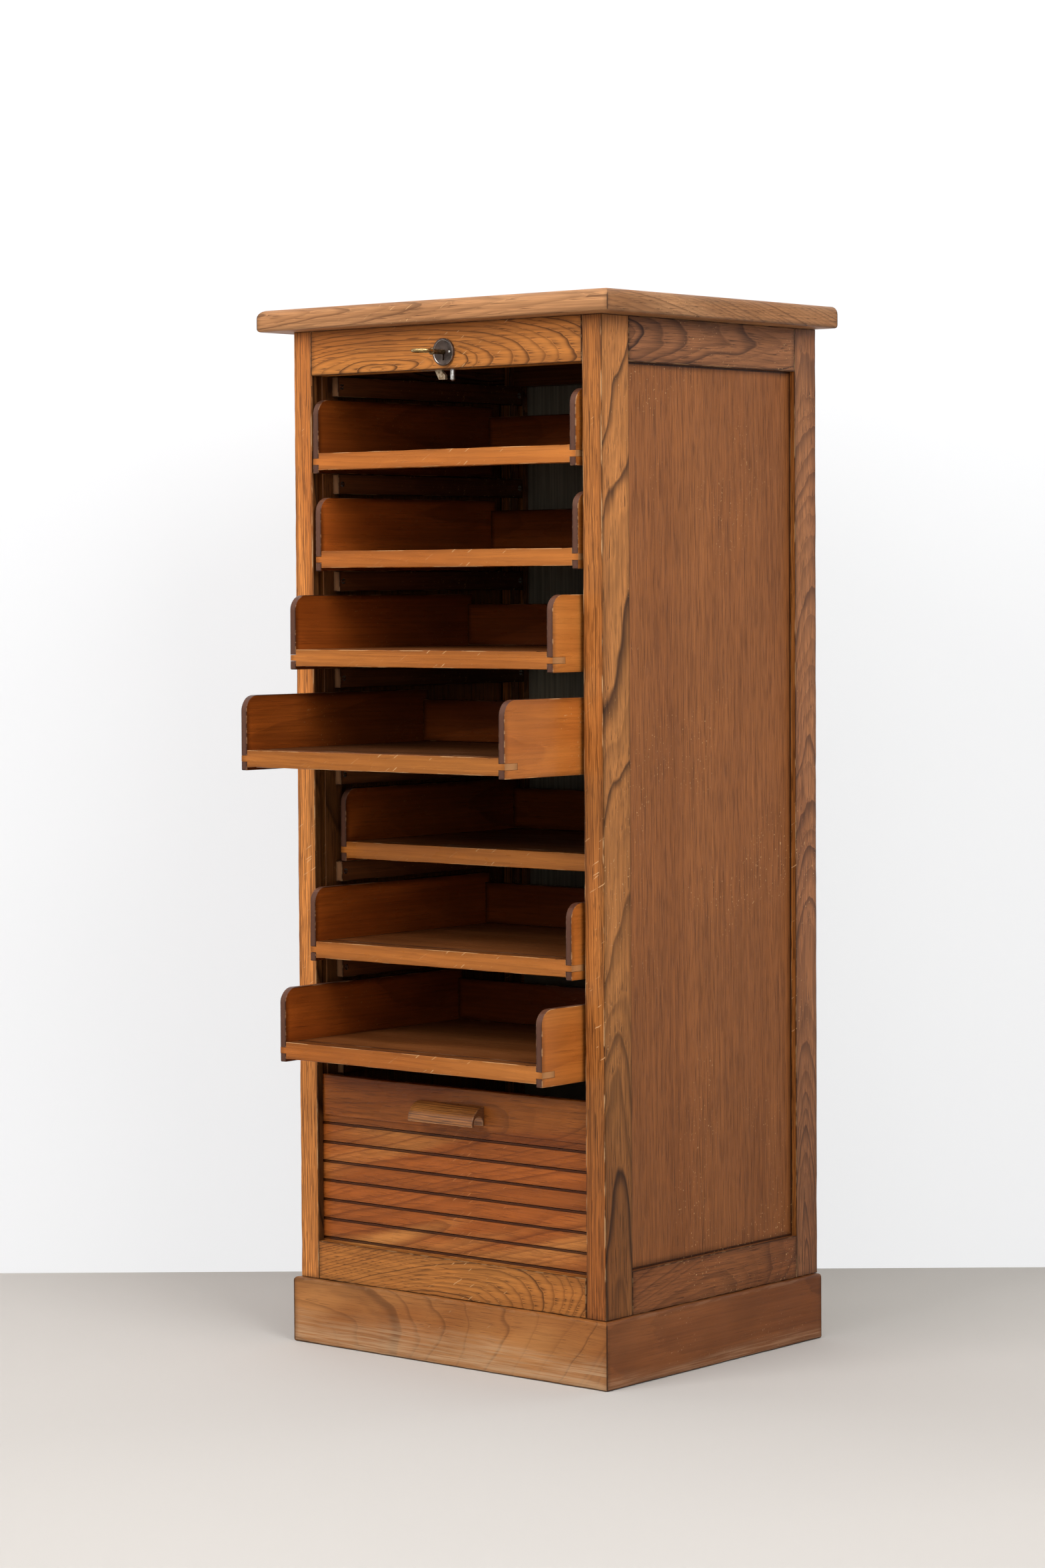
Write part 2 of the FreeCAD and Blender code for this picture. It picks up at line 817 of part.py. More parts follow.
def make_pull():
    """The finger pull: a quarter-round hook with a hollow below, on a thin plate."""
    face = slat_front - D["lead_proud"]
    low = D["lead_bottom"] + D["pull_lift"]
    high = low + D["pull_height"]
    tip = face - D["pull_reach"]
    lip = tip + D["pull_lip"]
    plate = face - D["pull_plate"]
    hollow_top = low + D["pull_hollow"]
    hollow_mid = (lip + plate) / 2
    half_hollow = (plate - lip) / 2
    back_curve = D["pull_reach"] * D["pull_reach"] / (D["pull_height"] * 2) + D["pull_height"] / 2
    section = [
        Corner(face, low),
        Corner(face, high),
        Bend(back_curve, True),
        Corner(tip, low),
        Corner(lip, low),
        Corner(lip, hollow_top - half_hollow),
        Bend(half_hollow, False),
        Corner(hollow_mid, hollow_top),
        Bend(half_hollow, False),
        Corner(plate, hollow_top - half_hollow),
        Corner(plate, low),
    ]
    pull = Piece("shutter_pull")
    pull.pad("x", -D["pull_length"] / 2, D["pull_length"] / 2, section)
    z = low + D["pull_height"] / 2
    shank = D["pull_screw_length"] - D["lead_proud"] - D["slat_thick"]
    for shift in (-1, 1):
        x = D["pull_screw_gap"] / 2 * shift
        pull.pocket_round("y", face - shank, face, (x, z, D["pull_screw_radius"]))
    pull.keep()


def make_pull_screws():
    """Two screws through the lead rail into the pull, heads let into its back."""
    z = D["lead_bottom"] + D["pull_lift"] + D["pull_height"] / 2
    head = slat_back - D["pull_screw_radius"]
    screws = Piece("pull_screws")
    for shift in (-1, 1):
        x = D["pull_screw_gap"] / 2 * shift
        screws.pad_round("y", head, slat_back, (x, z, D["pull_screw_head"]))
        screws.pad_round("y", slat_back - D["pull_screw_length"], head, (x, z, D["pull_screw_radius"]))
    screws.keep()


def slat_profile(top):
    """A slat's section, with a small stepped bead along its upper front edge."""
    low = top - D["slat_pitch"] + D["slat_gap"]
    step = D["slat_bead_step"]
    return [
        Corner(slat_back, top),
        Corner(slat_front + step, top),
        Corner(slat_front + step, top - D["slat_bead"]),
        Corner(slat_front, top - D["slat_bead"]),
        Corner(slat_front, low + step / 2),
        Corner(slat_front + step / 2, low),
        Corner(slat_back, low),
    ]


front_run_low = D["lead_bottom"] - D["slat_pitch"] * D["front_slats"]


def make_front_slats():
    """The slats below the lead rail, down to the track boards."""
    slats = Piece("shutter_slats")
    top = D["lead_bottom"] - D["slat_gap"]
    slat = slats.pad("x", -slat_end, slat_end, slat_profile(top))
    pattern = slats.repeat([slat], "Z_Axis", D["slat_pitch"] * (D["front_slats"] - 1), D["front_slats"])
    pattern.Reversed = True
    doc.recompute()
    slats.keep()
    canvas = Piece("shutter_canvas")
    reach = inner - D["canvas_inset"]
    top = D["lead_bottom"] + D["lead_lip"]
    canvas.pad(
        "y", slat_back, slat_back + D["canvas_thick"],
        rectangle(-reach, reach, front_run_low, top),
    )
    canvas.keep()


class TrackPath:
    """The line of the slats' inner faces, from the lowest front slat round to the back."""

    def __init__(self):
        self.radius = D["bend_radius"].number - D["slat_thick"].number / 2
        self.centre_z = bend_z.number
        self.front_y = bend_front.number
        self.rear_y = bend_rear.number
        self.start_z = front_run_low.number
        quarter = self.radius * math.pi / 2
        self.down = self.start_z - self.centre_z
        self.first_bend = self.down + quarter
        self.flat = self.first_bend + self.rear_y - self.front_y
        self.second_bend = self.flat + quarter

    def point(self, run):
        """The point of the line after a given length of run, as a vector with x = 0."""
        if run < self.down:
            return FreeCAD.Vector(0, self.front_y - self.radius, self.start_z - run)
        if run < self.first_bend:
            turn = (run - self.down) / self.radius
            y = self.front_y - self.radius * math.cos(turn)
            return FreeCAD.Vector(0, y, self.centre_z - self.radius * math.sin(turn))
        if run < self.flat:
            y = self.front_y + run - self.first_bend
            return FreeCAD.Vector(0, y, self.centre_z - self.radius)
        if run < self.second_bend:
            turn = (run - self.flat) / self.radius
            y = self.rear_y + self.radius * math.sin(turn)
            return FreeCAD.Vector(0, y, self.centre_z - self.radius * math.cos(turn))
        return FreeCAD.Vector(0, self.rear_y + self.radius, self.centre_z + run - self.second_bend)


def across(points, low, high):
    """A prism across the cabinet from an outline in the y-z plane."""
    wire = Part.makePolygon([FreeCAD.Vector(low, p.y, p.z) for p in points + points[:1]])
    return Part.Face(wire).extrude(FreeCAD.Vector(high - low, 0, 0))


def make_stored_shutter():
    """The slats round the bend and up the back, each one straight, and the canvas that joins them."""
    path = TrackPath()
    pitch = D["slat_pitch"].number
    thick = D["slat_thick"].number
    width = pitch - D["slat_gap"].number
    reach = slat_end.number
    solids = []
    inner_line = []
    for number in range(int(D["stored_slats"].number)):
        start = path.point(number * pitch + D["slat_gap"].number)
        end = path.point((number + 1) * pitch)
        way = (end - start).normalize()
        middle = (start + end) / 2
        half_width = min(width, (end - start).Length) / 2
        outward = FreeCAD.Vector(0, way.z, -way.y) * thick
        a = middle - way * half_width
        b = middle + way * half_width
        solids.append(across([a, b, b + outward, a + outward], -reach, reach))
        inner_line += [start, end]
    shaped("stored_slats", Part.makeCompound(solids))
    shaped("stored_canvas", canvas_along(inner_line))


def canvas_along(line):
    """The strip of canvas that follows the slats' inner faces."""
    thick = D["canvas_thick"].number
    offset = []
    for place, point in enumerate(line):
        before = line[max(place - 1, 0)]
        after = line[min(place + 1, len(line) - 1)]
        ways = [w.normalize() for w in (point - before, after - point) if w.Length > 0]
        mean = sum(ways, FreeCAD.Vector()).normalize()
        inward = FreeCAD.Vector(0, -mean.z, mean.y)
        offset.append(point + inward * (thick / max(mean.dot(ways[0]), 0.5)))
    reach = (inner - D["canvas_inset"]).number
    return across(line + offset[::-1], -reach, reach)


# Lock rail and lock

case_low_x = lock_x - D["case_off_centre"] - D["case_width"] / 2
case_high_x = case_low_x + D["case_width"]
case_front = D["case_behind_face"]
case_back = case_front + D["case_depth"]
lock_y_line = case_front + D["case_depth"] / 2
case_top = lock_rail_low + D["case_height"]


def keyhole(clear):
    """A round hole with a slot below it, as one outline in x and z, widened by a clearance."""
    radius = D["keyhole_radius"] + clear
    slot = D["keyhole_slot"] / 2 + clear
    low = lock_z - D["keyhole_drop"]
    rise = math.sqrt(radius.number ** 2 - slot.number ** 2)
    return [
        Corner(lock_x - slot, low),
        Corner(lock_x + slot, low),
        Corner(lock_x + slot, lock_z - rise),
        Bend(radius, True),
        Corner(lock_x + radius, lock_z),
        Bend(radius, True),
        Corner(lock_x, lock_z + radius),
        Bend(radius, True),
        Corner(lock_x - radius, lock_z),
        Bend(radius, True),
        Corner(lock_x - slot, lock_z - rise),
    ]


def make_lock_rail():
    """The front rail that the shutter closes against, with a mortise from below for the lock."""
    rail = Piece("lock_rail")
    rail.pad("y", 0, D["lock_rail_thick"], rectangle(-inner, inner, lock_rail_low, under_slab))
    rail.round_edges(edge_along(0, y=0, z=lock_rail_low), D["arris_round"])
    rail.pocket("z", lock_rail_low, case_top, rectangle(case_low_x, case_high_x, case_front, case_back))
    rail.pocket("y", 0, case_front, keyhole(D["keyhole_clear_rail"]))
    rail.keep()


def make_lock_case():
    """A steel box with a keyhole in front and a slot below for the hook."""
    wall = D["case_wall"]
    case = Piece("lock_case")
    case.pad("y", case_front, case_back, rectangle(case_low_x, case_high_x, lock_rail_low, case_top))
    hollow = rectangle(case_low_x + wall, case_high_x - wall, lock_rail_low + wall, case_top - wall)
    case.pocket("y", case_front + wall, case_back - wall, hollow)
    case.pocket("y", case_front, case_front + wall, keyhole(D["keyhole_clear_case"]))
    case.pocket("z", lock_rail_low, lock_rail_low + wall, hook_slot(case_low_x + wall))
    hook_x = lock_x - D["hook_pivot_off"]
    hook_z = lock_rail_low + D["hook_pivot_height"]
    for low, high in (
        (case_front + wall, lock_y_line - D["hook_thick"] / 2 - D["key_clear"]),
        (lock_y_line + D["hook_thick"] / 2 + D["key_clear"], case_back - wall),
    ):
        case.pad_round("y", low, high, (hook_x, hook_z, D["hook_width"] / 2))
    case.pad_round("y", case_front + wall, case_back - wall, (hook_x, hook_z, D["key_radius"]))
    case.keep()


def make_locating_pin():
    """The round steel pin under the lock, which enters the lead rail when the shutter is up."""
    tip = lock_rail_low - D["pin_drop"]
    pin = Piece("locating_pin")
    pin.pad_round("z", tip, lock_rail_low, (lock_x, lock_y_line, D["pin_radius"]))
    pin.bevel_edges(circle_round(2, tip), D["pin_bevel"])
    pin.keep()


def make_hook_bolt():
    """The flat hook on its pivot in the lock case; its end shows below the rail."""
    pivot_x = lock_x - D["hook_pivot_off"]
    pivot_z = lock_rail_low + D["hook_pivot_height"]
    wide = D["hook_width"] / 2
    tip_x = pivot_x + D["hook_lean"]
    tip_z = lock_rail_low - D["hook_drop"]
    front = lock_y_line - D["hook_thick"] / 2
    back = lock_y_line + D["hook_thick"] / 2
    hook = Piece("hook_bolt")
    hook.pad("y", front, back, [
        Corner(pivot_x - wide, pivot_z),
        Corner(pivot_x - wide, lock_rail_low),
        Corner(tip_x - wide, tip_z),
        Corner(tip_x + wide, tip_z),
        Corner(tip_x + wide, tip_z + wide),
        Corner(tip_x, tip_z + D["hook_width"]),
        Corner(pivot_x + wide, lock_rail_low + wide),
        Corner(pivot_x + wide, pivot_z),
        Bend(wide, True),
        Corner(pivot_x, pivot_z + wide),
        Bend(wide, True),
    ])
    hook.pocket_round("y", front, back, (pivot_x, pivot_z, D["key_radius"] + D["pivot_clear"]))
    hook.keep()


def make_escutcheon():
    """The round, dished lock plate with a raised rim, turned and then pierced with the keyhole."""
    radius = D["escutcheon_radius"]
    thick = D["escutcheon_thick"]
    rim = D["escutcheon_rim"]
    bevel = D["escutcheon_bevel"]
    dish = D["escutcheon_dish"]
    plate = Piece("escutcheon")
    plate.revolve([
        Corner(0, 0),
        Corner(radius, 0),
        Corner(radius, bevel - thick),
        Corner(radius - bevel, -thick),
        Corner(radius - rim + bevel, -thick),
        Corner(radius - rim, bevel - thick),
        Corner(D["escutcheon_flat"], -dish),
        Corner(0, -dish),
    ])
    bind_place(plate.body, lock_x, 0, lock_z)
    local = [
        Corner(item.u - lock_x, item.v - lock_z) if isinstance(item, Corner) else item
        for item in keyhole(0)
    ]
    plate.pocket("y", -thick, 0, local)
    plate.keep()


def make_key():
    """A brass key turned into the lock: ring bow level, bit towards the hook."""
    radius = D["key_radius"]
    wire = D["key_bow_wire"]
    tip = lock_y_line + D["hook_thick"] / 2
    neck = -D["key_reach"]
    bow_centre = neck - D["key_bow_radius"]
    key = Piece("key")
    key.pad_round("z", -wire, wire, (0, bow_centre, D["key_bow_radius"]))
    key.pocket_round("z", -wire, wire, (0, bow_centre, D["key_bow_radius"] - wire * 2))
    key.bevel_edges(circle_round(1, bow_centre), D["key_bow_bevel"])
    collar = neck + D["key_collar_from"]
    rise = collar + D["key_collar_slope"]
    fall = rise + D["key_collar_width"]
    key.revolve([
        Corner(0, neck - wire / 2),
        Corner(radius, neck - wire / 2),
        Corner(radius, collar),
        Corner(D["key_collar"], rise),
        Corner(D["key_collar"], fall),
        Corner(radius, fall + D["key_collar_slope"]),
        Corner(radius, tip),
        Corner(0, tip),
    ])
    bit_from = lock_y_line - D["key_bit_width"] / 2
    thick = D["key_bit_thick"] / 2
    bit = rectangle(-D["key_bit_length"], 0, -thick, thick)
    key.pad("y", bit_from, bit_from + D["key_bit_width"], bit)
    bind_place(key.body, lock_x, 0, lock_z)
    key.keep()


# Trays, built once with the front at y = 0 and the underside at z = 0

def tray_side(side):
    """A tray side with a rounded front corner and an open slot for the front rail's tongue."""
    a, b = mirrored(side, tray_inside, tray_outer)
    rail_middle = D["tray_rail_lift"] + D["tray_rail_height"] / 2
    piece = Piece("tray_side_" + side_word(side))
    piece.pad("x", a, b, [
        Corner(0, 0, D["arris_round"]),
        Corner(tray_depth, 0),
        Corner(tray_depth, tray_side_height),
        Corner(0, tray_side_height, D["tray_corner"]),
    ])
    tongue = D["tray_tongue"] / 2
    slot = rectangle(0, D["tray_rail_depth"], rail_middle - tongue, rail_middle + tongue)
    piece.pocket("x", a, b, slot)
    floor_top = D["tray_rail_lift"] + D["tray_rail_height"]
    a, b = mirrored(side, tray_inside, tray_inside + D["tray_floor_tongue"])
    floor_low = floor_top - D["tray_floor_thick"]
    piece.pocket("x", a, b, rectangle(D["tray_rail_depth"], tray_depth, floor_low, floor_top))
    return piece.body


def tray_front_rail():
    """The low front rail, with a tongue at each end that shows on the outside of the tray."""
    outer = tray_outer
    inside = tray_inside
    low = D["tray_rail_lift"]
    high = low + D["tray_rail_height"]
    middle = (low + high) / 2
    tongue = D["tray_tongue"] / 2
    rail = Piece("tray_rail")
    rail.pad("y", 0, D["tray_rail_depth"], [
        Corner(-outer, middle - tongue),
        Corner(-inside, middle - tongue),
        Corner(-inside, low),
        Corner(inside, low),
        Corner(inside, middle - tongue),
        Corner(outer, middle - tongue),
        Corner(outer, middle + tongue),
        Corner(inside, middle + tongue),
        Corner(inside, high),
        Corner(-inside, high),
        Corner(-inside, middle + tongue),
        Corner(-outer, middle + tongue),
    ])
    return rail.body


def tray_floor_and_back():
    """The thin floor in its side grooves and the low back that stands on it."""
    top = D["tray_rail_lift"] + D["tray_rail_height"]
    reach = tray_inside + D["tray_floor_tongue"]
    floor = Piece("tray_floor")
    floor.pad(
        "z", top - D["tray_floor_thick"], top,
        rectangle(-reach, reach, D["tray_rail_depth"], tray_depth),
    )
    back = Piece("tray_back")
    behind = tray_depth - D["tray_back_inset"]
    back.pad(
        "y", behind - D["tray_back_thick"], behind,
        rectangle(-tray_inside, tray_inside, top, top + D["tray_back_height"]),
    )
    return [floor.body, back.body]


def make_trays():
    """Seven equal trays, each pulled out as far as the photo shows."""
    sides = [tray_side(1), tray_side(-1)]
    rail = tray_front_rail()
    floor_and_back = tray_floor_and_back()
    for number, word in enumerate(TRAY_WORDS, start=1):
        front = D["tray_home"] - D[word + "_tray_out"]
        z = lock_rail_low - tray_pitch * number
        name = "tray_{}_".format(number)
        group(name + "sides", sides, front, z)
        group(name + "front_rail", [rail], front, z)
        group(name + "floor_and_back", floor_and_back, front, z)


def check_document():
    """Stop if any object failed or any node has no sound shape."""
    doc.recompute()
    for obj in doc.Objects:
        if "Invalid" in obj.State or "Error" in obj.State:
            raise RuntimeError("{} is {}".format(obj.Name, obj.State))
    for node in nodes:
        if node.Shape.isNull() or not node.Shape.isValid() or not node.Shape.Solids:
            raise RuntimeError("{} has no sound shape".format(node.Label))


def main():
    make_top()
    make_posts()
    make_stiles()
    make_side_frames()
    make_cross_rails()
    make_back_and_base()
    make_plinth()
    make_runners()
    make_track_boards()
    make_lead_rail()
    make_pull()
    make_pull_screws()
    make_front_slats()
    make_stored_shutter()
    make_lock_rail()
    make_lock_case()
    make_locating_pin()
    make_hook_bolt()
    make_escutcheon()
    make_key()
    make_trays()
    check_document()
    os.makedirs("parts", exist_ok=True)
    for node in nodes:
        node.Shape.exportStep("parts/{}.step".format(node.Label))
        print("{:28s} {:3d} solids".format(node.Label, len(node.Shape.Solids)))
    print(len(nodes), "nodes")


main()
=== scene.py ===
"""A roll-front filing cabinet of varnished wood, dressed for its picture.

Sizes are in metres, +Z is up and +Y is to the back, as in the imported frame.
"""

import logging
import math
from collections.abc import Callable, Sequence
from dataclasses import dataclass, field
from enum import Enum

import bmesh
import bpy
from bmesh.types import BMEdge, BMesh
from mathutils import Matrix, Vector, noise


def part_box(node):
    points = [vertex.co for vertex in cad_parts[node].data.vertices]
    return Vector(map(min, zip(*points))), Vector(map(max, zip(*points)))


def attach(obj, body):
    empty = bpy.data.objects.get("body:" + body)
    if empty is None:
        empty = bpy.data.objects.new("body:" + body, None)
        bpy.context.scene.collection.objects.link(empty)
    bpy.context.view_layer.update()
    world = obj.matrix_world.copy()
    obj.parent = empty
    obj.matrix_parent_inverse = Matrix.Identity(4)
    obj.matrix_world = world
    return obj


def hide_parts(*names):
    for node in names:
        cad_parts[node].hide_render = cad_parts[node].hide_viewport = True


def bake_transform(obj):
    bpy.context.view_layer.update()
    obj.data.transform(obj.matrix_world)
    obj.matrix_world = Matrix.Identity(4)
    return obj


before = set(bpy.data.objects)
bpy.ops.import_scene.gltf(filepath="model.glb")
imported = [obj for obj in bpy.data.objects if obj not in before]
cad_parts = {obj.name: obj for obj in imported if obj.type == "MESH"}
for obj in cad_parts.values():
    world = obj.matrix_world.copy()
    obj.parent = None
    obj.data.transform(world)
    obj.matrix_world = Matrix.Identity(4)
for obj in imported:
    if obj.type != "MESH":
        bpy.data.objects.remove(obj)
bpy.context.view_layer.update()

MM = 0.001
# How near two measures count as the same
TOUCH = 0.01 * MM
# About how long the parts of a divided board are
PART = 14 * MM
# An edge stands out as an arris above the first angle, and is shaded as one above the second
ARRIS_ANGLE = math.radians(30)
SHARP_ANGLE = math.radians(38)
# How much paler a board is for each 1 of its tone
TONE_STEP = 0.22
# How dark dirt and the painted shade of recesses are, as a share of the wood's dark colour
DIRT_AND_SHADE_SHARE = 0.3
TRAY_COUNT = 7
# Turns a level shape upright, to face the front
UPRIGHT = Matrix.Rotation(math.pi / 2, 3, "X")

Colour = tuple[float, float, float]
Point = tuple[float, float]
Triple = tuple[float, float, float]
Input = bpy.types.NodeSocket | float | tuple

log = logging.getLogger("tambour_cabinet")


class Axis(Enum):
    """A direction of the frame."""

    X = 0
    Y = 1
    Z = 2


class Side(Enum):
    """The cabinet's left or right, as seen from the front."""

    LEFT = -1
    RIGHT = 1

    @property
    def word(self) -> str:
        """The side's name as the nodes spell it."""
        return self.name.lower()


class Body(Enum):
    """What a piece moves with."""

    CARCASS = "carcass"
    SHUTTER = "shutter"
    KEY = "key"
    HOOK = "hook"


class Source(Enum):
    """Where a wood pattern takes its place from."""

    BOARD = "the board's own attributes"
    OBJECT = "the object's coordinates"


# Node trees


class Nodes:
    """Lays out the node tree of one material."""

    def __init__(self, name: str) -> None:
        """Start an empty tree.

        Args:
            name: The material's name.
        """
        self.material = bpy.data.materials.new(name)
        self.material.use_nodes = True
        self.tree = self.material.node_tree
        self.tree.nodes.clear()

    def feed(self, socket: bpy.types.NodeSocket, value: Input) -> None:
        """Link a socket to another one, or set it to a plain value.

        Args:
            socket: The input.
            value: A socket, a number or a tuple.
        """
        if isinstance(value, bpy.types.NodeSocket):
            self.tree.links.new(value, socket)
        else:
            socket.default_value = value

    def add(self, kind: str, inputs: dict[str, Input] | None = None, **settings: object) -> bpy.types.Node:
        """Add a node.

        Args:
            kind: The node's type name.
            inputs: Values for its inputs, by name.
            **settings: Values for its own properties.

        Returns:
            The node.
        """
        node = self.tree.nodes.new(kind)
        for key, value in settings.items():
            setattr(node, key, value)
        for key, value in (inputs or {}).items():
            self.feed(node.inputs[key], value)
        return node

    def math(self, operation: str, *values: Input, clamp: bool = False) -> bpy.types.NodeSocket:
        """Work out a number.

        Args:
            operation: The Math node's operation.
            *values: Its inputs in order.
            clamp: Whether the result is kept between 0 and 1.

        Returns:
            The result's socket.
        """
        node = self.add("ShaderNodeMath", operation=operation, use_clamp=clamp)
        for socket, value in zip(node.inputs, values):
            self.feed(socket, value)
        return node.outputs[0]

    def product(self, first: Input, *others: Input) -> bpy.types.NodeSocket:
        """A number multiplied by the others in turn.

        Args:
            first: The number.
            *others: What it is multiplied by.

        Returns:
            The product's socket.
        """
        for other in others:
            first = self.math("MULTIPLY", first, other)
        return first

    def vector(self, operation: str, *values: Input) -> bpy.types.NodeSocket:
        """Work out a vector, or a length.

        Args:
            operation: The Vector Math node's operation.
            *values: Its inputs in order.

        Returns:
            The result's socket.
        """
        node = self.add("ShaderNodeVectorMath", operation=operation)
        for socket, value in zip(node.inputs, values):
            self.feed(socket, value)
        return node.outputs["Value" if operation == "LENGTH" else "Vector"]

    def scaled(self, vector: Input, factor: Input) -> bpy.types.NodeSocket:
        """A vector or colour times a number.

        Args:
            vector: The vector or colour.
            factor: The number.

        Returns:
            The result's socket.
        """
        node = self.add("ShaderNodeVectorMath", {"Scale": factor}, operation="SCALE")
        self.feed(node.inputs[0], vector)
        return node.outputs["Vector"]

    def parts(self, vector: Input) -> list[bpy.types.NodeSocket]:
        """A vector's three components."""
        return list(self.add("ShaderNodeSeparateXYZ", {"Vector": vector}).outputs)

    def attribute(self, name: str, output: str = "Vector") -> bpy.types.NodeSocket:
        """A value that the mesh carries."""
        return self.add("ShaderNodeAttribute", attribute_name=name).outputs[output]

    def here(self) -> bpy.types.NodeSocket:
        """The place in the object's coordinates."""
        return self.add("ShaderNodeTexCoord").outputs["Object"]

    def noise(self, place: Input, stretch: Triple, detail: float = 2.0, output: str = "Fac",
              seed: float = 0.0) -> bpy.types.NodeSocket:
        """Soft noise.

        Args:
            place: Where it is read.
            stretch: How many waves it has per metre along each axis.
            detail: How much finer noise is added.
            output: Fac for a number or Color for a vector.
            seed: A shift that makes it another noise.

        Returns:
            The chosen output's socket.
        """
        near = self.vector("MULTIPLY_ADD", place, stretch, (seed, seed * 0.7, seed * 1.3))
        inputs = {"Vector": near, "Scale": 1.0, "Detail": detail}
        return self.add("ShaderNodeTexNoise", inputs).outputs[output]

    def line_noise(self, value: Input, waves: float) -> bpy.types.NodeSocket:
        """Soft noise along a single number.

        Args:
            value: Where it is read.
            waves: How many waves it has per unit.

        Returns:
            The noise's socket.
        """
        return self.add("ShaderNodeTexNoise", {"W": value, "Scale": waves, "Detail": 1.0},
                        noise_dimensions="1D").outputs["Fac"]

    def ramp(self, value: Input, low: float, high: float, start: float = 0.0,
             end: float = 1.0) -> bpy.types.NodeSocket:
        """A smooth step from one number to another.

        Args:
            value: What is mapped.
            low: The value that gives the start.
            high: The value that gives the end.
            start: The result at low.
            end: The result at high.

        Returns:
            The result's socket.
        """
        inputs = {"Value": value, "From Min": low, "From Max": high, "To Min": start, "To Max": end}
        return self.add("ShaderNodeMapRange", inputs, interpolation_type="SMOOTHSTEP").outputs["Result"]

    def mix(self, factor: Input, first: Input, second: Input) -> bpy.types.NodeSocket:
        """Mix two colours.

        Args:
            factor: 0 for the first colour and 1 for the second.
            first: A socket or colour.
            second: A socket or colour.

        Returns:
            The mixed colour's socket.
        """
        node = self.add("ShaderNodeMix", data_type="RGBA")
        values = {"Factor_Float": factor, "A_Color": first, "B_Color": second}
        for socket in node.inputs:
            if socket.identifier in values:
                value = values[socket.identifier]
                opaque = value if not isinstance(value, tuple) or len(value) == 4 else (*value, 1.0)
                self.feed(socket, opaque)
        return next(socket for socket in node.outputs if socket.identifier == "Result_Color")

    def bump(self, height: Input, strength: float, distance: float) -> bpy.types.NodeSocket:
        """A normal that follows a height.

        Args:
            height: The height, from 0 to 1.
            strength: How much of it is used.
            distance: The height in metres that 1 stands for.

        Returns:
            The normal's socket.
        """
        inputs = {"Height": height, "Strength": strength, "Distance": distance}
        return self.add("ShaderNodeBump", inputs).outputs["Normal"]

    def edge_distance(self, board: Input) -> bpy.types.NodeSocket:
        """How far a surface point is from the nearest edge of its board.

        Args:
            board: The place on the board, from its low corner.

        Returns:
            The distance's socket.
        """
        beyond = self.vector("SUBTRACT", self.attribute("span"), board)
        x, y, z = self.parts(self.vector("MINIMUM", board, beyond))
        least = self.math("MINIMUM", self.math("MINIMUM", x, y), z)
        most = self.math("MAXIMUM", self.math("MAXIMUM", x, y), z)
        total = self.math("ADD", self.math("ADD", x, y), z)
        return self.math("SUBTRACT", total, self.math("ADD", least, most))

    def surface(self, **inputs: Input) -> bpy.types.Material:
        """End the tree with a surface shader.

        Args:
            **inputs: The shader's inputs, with underscores for spaces.

        Returns:
            The finished material.
        """
        named = {key.replace("_", " "): value for key, value in inputs.items()}
        shader = self.add("ShaderNodeBsdfPrincipled", named)
        self.add("ShaderNodeOutputMaterial", {"Surface": shader.outputs[0]})
        return self.material


# Finishes


